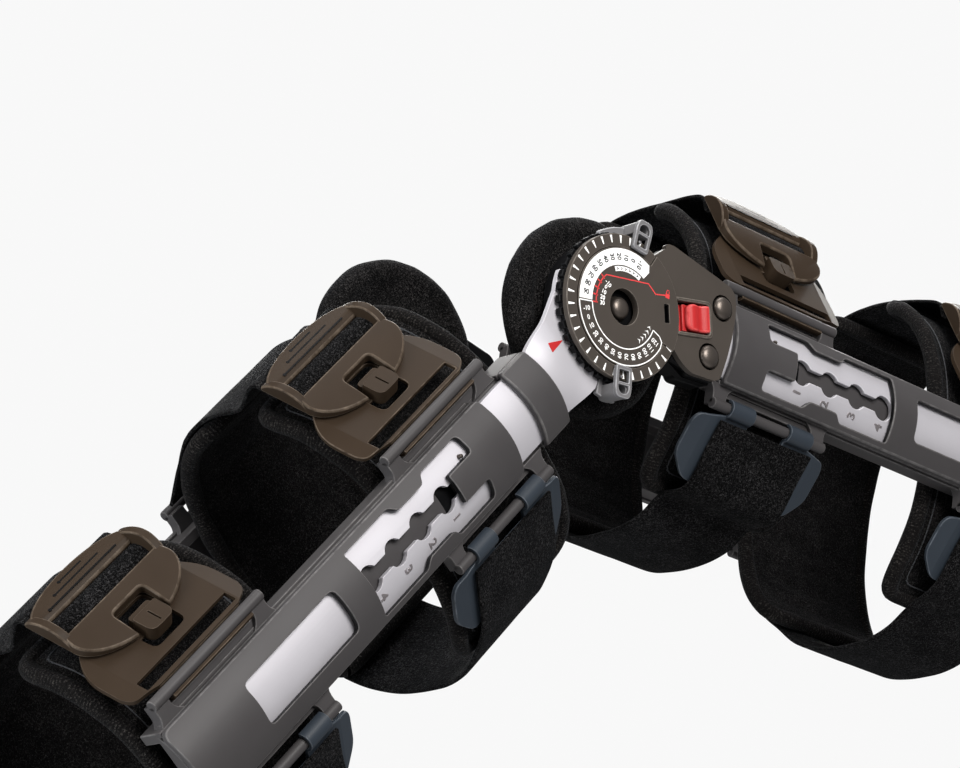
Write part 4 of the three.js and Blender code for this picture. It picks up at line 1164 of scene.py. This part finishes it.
for name, cuff in CUFFS.items():
    angles, length = even_angles(cuff, PAD_BACK, PAD_FRONT, 120)
    panel = bmesh.new()
    bmesh.ops.create_grid(panel, x_segments=72, y_segments=28, size=1)
    inset = panel.verts.layers.float.new("inset")
    for vert in panel.verts:
        t = 0.5 + 0.5 * vert.co.x * (1 - 7 / length)
        half = end_narrowing(t, PAD_INSET)
        across = vert.co.y * half
        vert[inset] = min(half + PAD_INSET - abs(across), min(t, 1 - t) * length)
        rise = FACE_RISE * math.sin(min(1.0, vert[inset] / FACE_RISE_OVER) * math.pi / 2)
        sewn = SEAM_DEPTH * math.exp(-(((vert[inset] - SEAM_INSET) / SEAM_HALF) ** 2))
        creases = 0.35 * noise.noise(Vector((t * 9, across / 18, cuff["middle"])))
        vert.co = panel_point(cuff, angles, t, across, PAD_OUTSIDE + rise - sewn + creases)
    facing_out(panel)
    centre = panel_point(cuff, angles, 0.5, 0, 4)
    middle_face = min(panel.faces, key=lambda face: (face.calc_center_median() - centre).length)
    inward = PAD_THICKNESS if middle_face.normal.z > 0 else -PAD_THICKNESS
    bmesh.ops.solidify(panel, geom=panel.faces[:], thickness=inward)
    facing_out(panel)
    panel.verts.index_update()
    inflated(panel, [v.index for v in panel.verts
                     if v[inset] < EDGE_HELD or abs(v[inset] - SEAM_INSET) < SEAM_HALF])
    for side in SIDES:
        place = limb_place(cuff["limb"], side)
        cushion = cuff_piece(f"{name}_{side}_cushion", panel.copy(), place, PLUSH, "plush",
                             f"{name}_{side}_pad", smooth=80, even=False)
        finer = cushion.modifiers.new("finer", "SUBSURF")
        finer.levels = 1
        finer.render_levels = 1
        edge = panel_edge(cuff, angles, length, ROLL_INSET, ROLL_OUTSIDE, 200)
        roll = tube(edge + edge[:1], ROLL_RADIUS, 4, 0.1)
        cuff_piece(f"{name}_{side}_binding", roll, place, BINDING, "plush", smooth=80, even=False)
        seam = panel_edge(cuff, angles, length, SEAM_INSET, SEAM_OUTSIDE, 170)
        cuff_piece(f"{name}_{side}_stitches", stitch_row(seam), place, THREAD, "plush", even=False)
    panel.free()

# Straps: black hook-and-loop webbing, one across the front of each cuff and one round the back. The front
# one rises through the buckle's slot and runs to the right front rod; the back one lies on the clip.
# The webbing's pale specks are partly painted glints on its loops.
LOOP_WEB = pile_finish("loop_webbing", (3, 3, 3), (58, 57, 58), 1250.0, 0.5, 0.02, strength=1.0)
STRAP_WIDTH = 56
STRAP_THICKNESS = 1.7
STRAP_LIFT = 0.3
STRAP_OUTSIDE = 7.3
CLIP_TILT = 56
STRAP_RISE = [(43.0, 0.6), (44.2, 2.6), (46.5, 3.9), (49, 4.2), (51.5, 3.6), (53.2, 2.0), (54.6, 0.2),
              (58, -1.1), (67, -1.4)]


def rod_line(cuff, front):
    """The line on which a plate leaves its rod: a start, a way and a normal, as outward and forward."""
    way = 1 if front else -1
    slope = math.radians(cuff["tilt"] if front else CLIP_TILT)
    c, s = math.cos(slope), math.sin(slope)
    start = Vector((ROD_OUT, BAR_MIDDLE[cuff["limb"]] + way * ROD_OFFSET))
    return start, Vector((-c, way * s)), Vector((s, way * c))


def on_rod_line(cuff, front, run, out, mirror=1):
    """A point of that line, or of its mirror image on the right side."""
    start, way, normal = rod_line(cuff, front)
    point = start + way * run + normal * out
    return Vector((mirror * point.x, point.y))


def eased(points, count):
    """Evenly spaced points on a smooth curve through the given ones."""
    fine = []
    for i in range(len(points) - 1):
        p0, p1, p2 = points[max(0, i - 1)], points[i], points[i + 1]
        p3 = points[min(len(points) - 1, i + 2)]
        for k in range(24):
            t = k / 24
            fine.append(0.5 * ((2 * p1) + (p2 - p0) * t + (2 * p0 - 5 * p1 + 4 * p2 - p3) * t * t
                               + (3 * p1 - p0 - 3 * p2 + p3) * t**3))
    fine.append(points[-1])
    places, _ = even_places(fine, count)
    return [fine[k].lerp(fine[k + 1], share) for k, share in places]


def webbing(path, middle, count):
    """A band of webbing along a path of outward and forward points, outside it by its thickness."""
    spots = eased(path, count)
    bm = bmesh.new()
    bmesh.ops.create_grid(bm, x_segments=count, y_segments=14, size=1)
    for vert in bm.verts:
        k = round((vert.co.x + 1) / 2 * count)
        way = (spots[min(count, k + 1)] - spots[max(0, k - 1)]).normalized()
        lift = 0.16 * noise.noise(Vector((k / 6, vert.co.y * 3, middle)))
        out = spots[k] + Vector((way.y, -way.x)) * (STRAP_LIFT + lift)
        vert.co = (middle + vert.co.y * STRAP_WIDTH / 2, out.y, out.x)
    bm.normal_update()
    half_way = spots[count // 2]
    way = (spots[count // 2 + 1] - half_way).normalized()
    centre = Vector((middle, half_way.y, half_way.x))
    middle_face = min(bm.faces, key=lambda face: (face.calc_center_median() - centre).length)
    if middle_face.normal.dot(Vector((0, -way.x, way.y))) < 0:
        bmesh.ops.reverse_faces(bm, faces=bm.faces[:])
    bmesh.ops.solidify(bm, geom=bm.faces[:], thickness=-STRAP_THICKNESS)
    round_edges(facing_out(bm), 0.6, 2, 60)
    return bm


for name, cuff in CUFFS.items():
    place = limb_place(cuff["limb"], "left")
    under = [on_rod_line(cuff, True, run, out) for run, out in STRAP_RISE]
    over = [Vector(loop_point(cuff, a, STRAP_OUTSIDE)) for a in steps_between(84, 126, 4)]
    right_end = on_rod_line(cuff, True, 3.9, -1.4, mirror=-1)
    front = webbing([*under, *over, right_end], cuff["strap"], 120)
    cuff_piece(f"{name}_front_webbing", front, place, LOOP_WEB, "strap", f"{name}_front_strap",
               smooth=60, even=False)
    from_right = [on_rod_line(cuff, False, run, 0, mirror=-1) for run in (3.9, 18, 37)]
    round_back = [Vector(loop_point(cuff, a, STRAP_OUTSIDE)) for a in steps_between(234, 306, 5)]
    on_clip = [on_rod_line(cuff, False, run, 2.6) for run in (37, 18, 5)]
    back = webbing([*from_right, *round_back, *on_clip], cuff["rods"], 110)
    cuff_piece(f"{name}_back_webbing", back, place, LOOP_WEB, "strap", f"{name}_back_strap",
               smooth=60, even=False)

# Buckle plates: brown-grey moulded plates that hook under the front rods. The ends are folded down along
# two creases, a long slot lies beside the hook, and a slit stud stands up for the buckle.
BUCKLE_GREY = solid_finish("buckle_grey", (44, 35, 27), (52, 42, 33), (97, 86, 75), 0.42,
                           grain=2600.0, depth=0.025, gleam=0.08)
HOOK_INNER = 2.9
HOOK_THICKNESS = 1.5
HOOK_HALF = 25
PLATE_HALF = 36.5
PLATE_END = 42
CREASE = 28.6
FOLD_SLOPE = 0.2


def line_place(cuff, front, middle):
    """From a plate's own millimetres (along the limb, along the line, outward) to the frame's metres."""
    start, way, normal = rod_line(cuff, front)
    local = Matrix([[1, 0, 0, middle], [0, way.y, normal.y, start.y], [0, way.x, normal.x, start.x],
                    [0, 0, 0, 1]])
    return limb_place(cuff["limb"], "left") @ local


def rod_hook(over, spans):
    """The hook at a plate's end that goes round its rod, over it or under it."""
    start, end = (0, 205) if over else (20, -185)
    outer = arc(HOOK_INNER + HOOK_THICKNESS, start, end, step=9)
    section = outer + arc(HOOK_INNER, end, start, step=9)
    return gathered(*(run_along(section, low, high, 0.3) for low, high in spans))


def folded(bm, middle, crease, slope):
    """Bends a plate's two ends down outside its creases."""
    sliced(bm, 0, [middle - crease, middle - crease - 0.5, middle + crease, middle + crease + 0.5])
    for vert in bm.verts:
        past = abs(vert.co.x - middle) - crease
        if past > 0:
            vert.co.z -= past * slope
    return bm


def cross_box(middle, half, b0, b1, radius, steps=4):
    """A box from b0 to b1, half to each side of its middle, with rounded corners."""
    return softened(box_loop(middle - half, middle + half, b0, b1), radius, steps)


for name, cuff in CUFFS.items():
    middle = cuff["strap"] - cuff["rods"]
    low, high = middle - PLATE_HALF, middle + PLATE_HALF
    corners = [(-HOOK_HALF, 3), (HOOK_HALF, 3), (high - 2, 6), (high, 10), (high, PLATE_END - 13),
               (high - 13, PLATE_END), (low + 13, PLATE_END), (low, PLATE_END - 13), (low, 10),
               (low + 2, 6)]
    outline = softened(corners, [0.5, 0.5, 3, 3, 9, 9, 9, 9, 3, 3], 6)
    slot = cross_box(middle, 28, 4.8, 10.4, 0.6)
    stud_hole = cross_box(middle, 9.6, 14.6, 36.4, 3.5)
    sheet = folded(blank([outline, slot, stud_hole], 0.2, 2.2, 0.4), middle, CREASE, FOLD_SLOPE)
    hook = rod_hook(False, [(-HOOK_HALF, HOOK_HALF)])
    bridge = blank([box_loop(middle - 10, middle + 10, 22.4, 26.4)], 0.3, 1.7, 0.2)
    slit = cross_box(middle, 0.4, 19.4, 26, 0.3)
    stud = blank([cross_box(middle, 6.8, 17.8, 28, [4, 4, 1.2, 1.2], 6), slit], 0.6, 7.4, 0.7)
    step = blank([cross_box(middle, 6.2, 27, 31, [0.3, 0.3, 1.5, 1.5])], 0.6, 5.2, 0.5)
    cuff_piece(f"{name}_hook_plate", gathered(sheet, hook, bridge, stud, step),
               line_place(cuff, True, cuff["rods"]), BUCKLE_GREY, "buckle", f"{name}_buckle_plate")

# Buckles: brown-grey moulded quick-release buckles. A half disc notched round the stud and a ribbed grip
# are held together by two arched cheeks, and the webbing passes between them.
BUCKLE_BACK = 3.2
BUCKLE_FLAT = BUCKLE_BACK + 1.2
BUCKLE_CREST = 8.2
BUCKLE_MIDDLE = 44.25
BUCKLE_HALF = 22.75
BUCKLE_FALL = 3.0
DISC_HALF = 30.5
DISC_DEPTH = 16.5
DISC_FROM = 38
NOTCH_HALF = 9.3
SLOT_SIDE = 29.5
SLOT_FROM = 43.4
SLOT_TO = 53.8
GRIP_OVAL = ((0, 56.5), 30.2, 10.4, range(8, 173, 6))
GRIP_DIP = 1.8
CHEEK_FROM = 37.5
CHEEK_SPAN = 24.5
CHEEK_FOOT = 3.0
CHEEK_ARCH = 6.3
GROOVES = ((56.6, 20.5), (60.0, 13.4), (63.2, 6.8))


def shaped_top(bm):
    """Brings a flat blank's upper side to the buckle's crown, above the part that stays flat."""
    for vert in bm.verts:
        if vert.co.z > BUCKLE_FLAT:
            vert.co.z -= BUCKLE_FALL * ((vert.co.y - BUCKLE_MIDDLE) / BUCKLE_HALF) ** 2
    return bm


def arched_cheek(way):
    """One side of the buckle: an upright arch, bowed out a little in the middle."""
    arch = [(CHEEK_FROM + CHEEK_SPAN * i / 16, 4.4 + CHEEK_ARCH * math.sin(math.pi * i / 16) ** 0.8)
            for i in range(17)]
    cheek = blank([[(61.5, CHEEK_FOOT), (37.8, CHEEK_FOOT), *arch]], 26.4, 30.6, 0.7)
    for vert in cheek.verts:
        run, out, along = vert.co
        bow = 1.2 * math.sin(math.pi * min(1.0, max(0.0, (run - CHEEK_FROM) / CHEEK_SPAN)))
        vert.co = (way * (along + bow - 0.6), run, out)
    return facing_out(cheek)


notch_run = DISC_FROM - DISC_DEPTH * math.sqrt(1 - (NOTCH_HALF / DISC_HALF) ** 2)
disc_rim = oval((0, DISC_FROM), -DISC_HALF, -DISC_DEPTH, range(0, 181, 5))
notch = softened([(-NOTCH_HALF, 24), (-NOTCH_HALF, 36), (NOTCH_HALF, 36), (NOTCH_HALF, 24)],
                 [0, 2.6, 2.6, 0], 6)
disc_outline = ([p for p in disc_rim if p[0] < -NOTCH_HALF - 0.1] + [(-NOTCH_HALF, notch_run)] + notch
                + [(NOTCH_HALF, notch_run)] + [p for p in disc_rim if p[0] > NOTCH_HALF + 0.1]
                + [(SLOT_SIDE, SLOT_FROM), (-SLOT_SIDE, SLOT_FROM)])
grip_outline = [(SLOT_SIDE, SLOT_TO), *oval(*GRIP_OVAL), (-SLOT_SIDE, SLOT_TO)]
for name, cuff in CUFFS.items():
    half_disc = blank([disc_outline], BUCKLE_BACK, BUCKLE_CREST, 0.9, 4)
    sliced(half_disc, 1, steps_between(22, 43, 14))
    grip = blank([grip_outline], BUCKLE_BACK, BUCKLE_CREST, 0.9, 4)
    sliced(grip, 1, steps_between(54.5, 66, 9))
    for vert in shaped_top(grip).verts:
        if vert.co.z > BUCKLE_FLAT:
            vert.co.z -= GRIP_DIP * (1 - smooth_rise(vert.co.y, 53.4, 57.4))
    shape = gathered(shaped_top(half_disc), grip, arched_cheek(-1), arched_cheek(1))
    place = line_place(cuff, True, cuff["strap"])
    cuff_piece(f"{name}_snap_buckle", shape, place, BUCKLE_GREY, "buckle", f"{name}_buckle")
    # The grooves are not cut into the grip: thin black strips lie almost flush on its top as painted shade
    # in them.
    groove_shade_strips = []
    for run, half in GROOVES:
        groove = cross_box(0, half, run - 0.42, run + 0.42, 0.35)
        line = blank([groove], BUCKLE_CREST - 0.2, BUCKLE_CREST + 0.04)
        dot = blank([circle(0.8, 30, (half, run))], BUCKLE_CREST - 0.2, BUCKLE_CREST + 0.06)
        groove_shade_strips += [shaped_top(sliced(line, 1, [run])), shaped_top(dot)]
    cuff_piece(f"{name}_grip_groove_shade", gathered(*groove_shade_strips), place, BLACK_PLASTIC, "buckle", even=False)

# Back clips: blue-grey moulded plates hooked over the back rods by two knuckles with a window between.
# The ends are folded down and cut off at a slant, and the back strap lies flat on each.
CLIP_GREY = solid_finish("clip_grey", (43, 49, 57), (51, 58, 66), (92, 98, 106), 0.46,
                         grain=2600.0, depth=0.025)
KNUCKLE_FROM = 11
CLIP_CREASE = 32
CLIP_SLOPE = 0.16
COMB = [(-HOOK_HALF, 2.9), (-KNUCKLE_FROM, 2.9), (-KNUCKLE_FROM, 9), (KNUCKLE_FROM, 9),
        (KNUCKLE_FROM, 2.9), (HOOK_HALF, 2.9), (38, 6), (40, 10), (40, 26), (31, 36), (-31, 36), (-40, 26),
        (-40, 10), (-38, 6)]
COMB_CORNERS = [0.5, 0.5, 1.2, 1.2, 0.5, 0.5, 3, 3, 4, 4, 4, 4, 3, 3]
for name, cuff in CUFFS.items():
    sheet = folded(blank([softened(COMB, COMB_CORNERS)], 0.1, 2.0, 0.4), 0, CLIP_CREASE, CLIP_SLOPE)
    knuckles = rod_hook(True, [(-HOOK_HALF, -KNUCKLE_FROM), (KNUCKLE_FROM, HOOK_HALF)])
    cuff_piece(f"{name}_clip_plate", gathered(sheet, knuckles), line_place(cuff, False, cuff["rods"]),
               CLIP_GREY, "buckle", f"{name}_back_clip")

# Studio: a plain pale floor well below the camera, a near-white surround, and large soft lights: a key
# from the upper right of the picture, a smaller one from the lower left, two that fill from the side and
# from above, and a broad one behind that lights the far side.
FLOOR_LEVEL = -1.6
FLOOR_GLOW = (0.62, 0.62, 0.62, 1)
PALE_FLOOR = solid_finish("pale_floor", (226, 226, 226), (234, 234, 234), (236, 236, 236), 0.7)
RIGHT = Vector((-0.75362595, 0.64499051, 0.12663004))
UP = Vector((0.30484681, 0.17229354, 0.93668744))
BACK = Vector((0.58233697, 0.74451473, -0.32646818))
CAMERA_SPOT = Vector((0.89860, 1.14777, -0.52189))
CAMERA_LENS = 131.25
LIT_MIDDLE = Vector((0.03, 0.06, -0.06))
# Each light: how far it stands across, up and towards the camera, its size, power and colour.
LIGHTS = {
    "key": (0.6, 0.8, 0.9, 0.8, 24, (1.0, 0.98, 0.95)),
    "window": (-0.95, -0.3, 0.85, 0.4, 9, (0.9, 0.96, 1.0)),
    "side": (-0.9, 0.6, 0.5, 1.0, 9, (1.0, 0.97, 0.92)),
    "above": (0.1, 1.1, -0.3, 1.0, 9, (1.0, 1.0, 1.0)),
    "far": (0.1, 0.4, -1.3, 1.2, 32, (1.0, 0.99, 0.97)),
}
floor = bmesh.new()
bmesh.ops.create_grid(floor, x_segments=1, y_segments=1, size=40)
floor_mesh = bpy.data.meshes.new("floor")
moved(floor, 0, 0, FLOOR_LEVEL).to_mesh(floor_mesh)
floor.free()
floor_tree = PALE_FLOOR.node_tree
floor_surface = floor_tree.nodes["Principled BSDF"].inputs
floor_path = shader_node(floor_tree, "ShaderNodeLightPath").outputs["Is Camera Ray"]
fed(floor_tree, floor_surface["Emission Color"], mixed(floor_tree, floor_path, (0, 0, 0, 1), FLOOR_GLOW))
floor_surface["Emission Strength"].default_value = 1.0
floor_mesh.materials.append(PALE_FLOOR)
floor_piece = added("floor", floor_mesh)

view = bpy.data.cameras.new("photo_view")
view.lens = CAMERA_LENS
view.sensor_width = 36
view.clip_start = 0.05
view_holder = added("photo_view", view)
view_rows = [[RIGHT[i], UP[i], BACK[i], CAMERA_SPOT[i]] for i in range(3)]
view_holder.matrix_world = Matrix(view_rows + [[0, 0, 0, 1]])
bpy.context.scene.camera = view_holder

for label, (across, upward, towards, size, power, tint) in LIGHTS.items():
    lamp = bpy.data.lights.new(label, "AREA")
    lamp.shape = "DISK"
    lamp.size = size
    lamp.energy = power
    lamp.color = tint
    spot = LIT_MIDDLE + RIGHT * across + UP * upward + BACK * towards
    holder = added(label, lamp)
    holder.location = spot
    holder.rotation_euler = (spot - LIT_MIDDLE).to_track_quat("Z", "Y").to_euler()
world = bpy.data.worlds.new("white_surround")
bpy.context.scene.world = world
world.use_nodes = True
sky = world.node_tree
lighting = sky.nodes["Background"]
lighting.inputs["Color"].default_value = (0.94, 0.95, 0.97, 1)
lighting.inputs["Strength"].default_value = 0.22
seen = shader_node(sky, "ShaderNodeBackground", Color=(0.94, 0.94, 0.94, 1), Strength=1.0)
sky_path = shader_node(sky, "ShaderNodeLightPath").outputs["Is Camera Ray"]
choose = shader_node(sky, "ShaderNodeMixShader", sky_path, lighting.outputs["Background"],
                     seen.outputs["Background"])
sky.links.new(choose.outputs["Shader"], sky.nodes["World Output"].inputs["Surface"])
bpy.context.scene.view_settings.view_transform = "Standard"
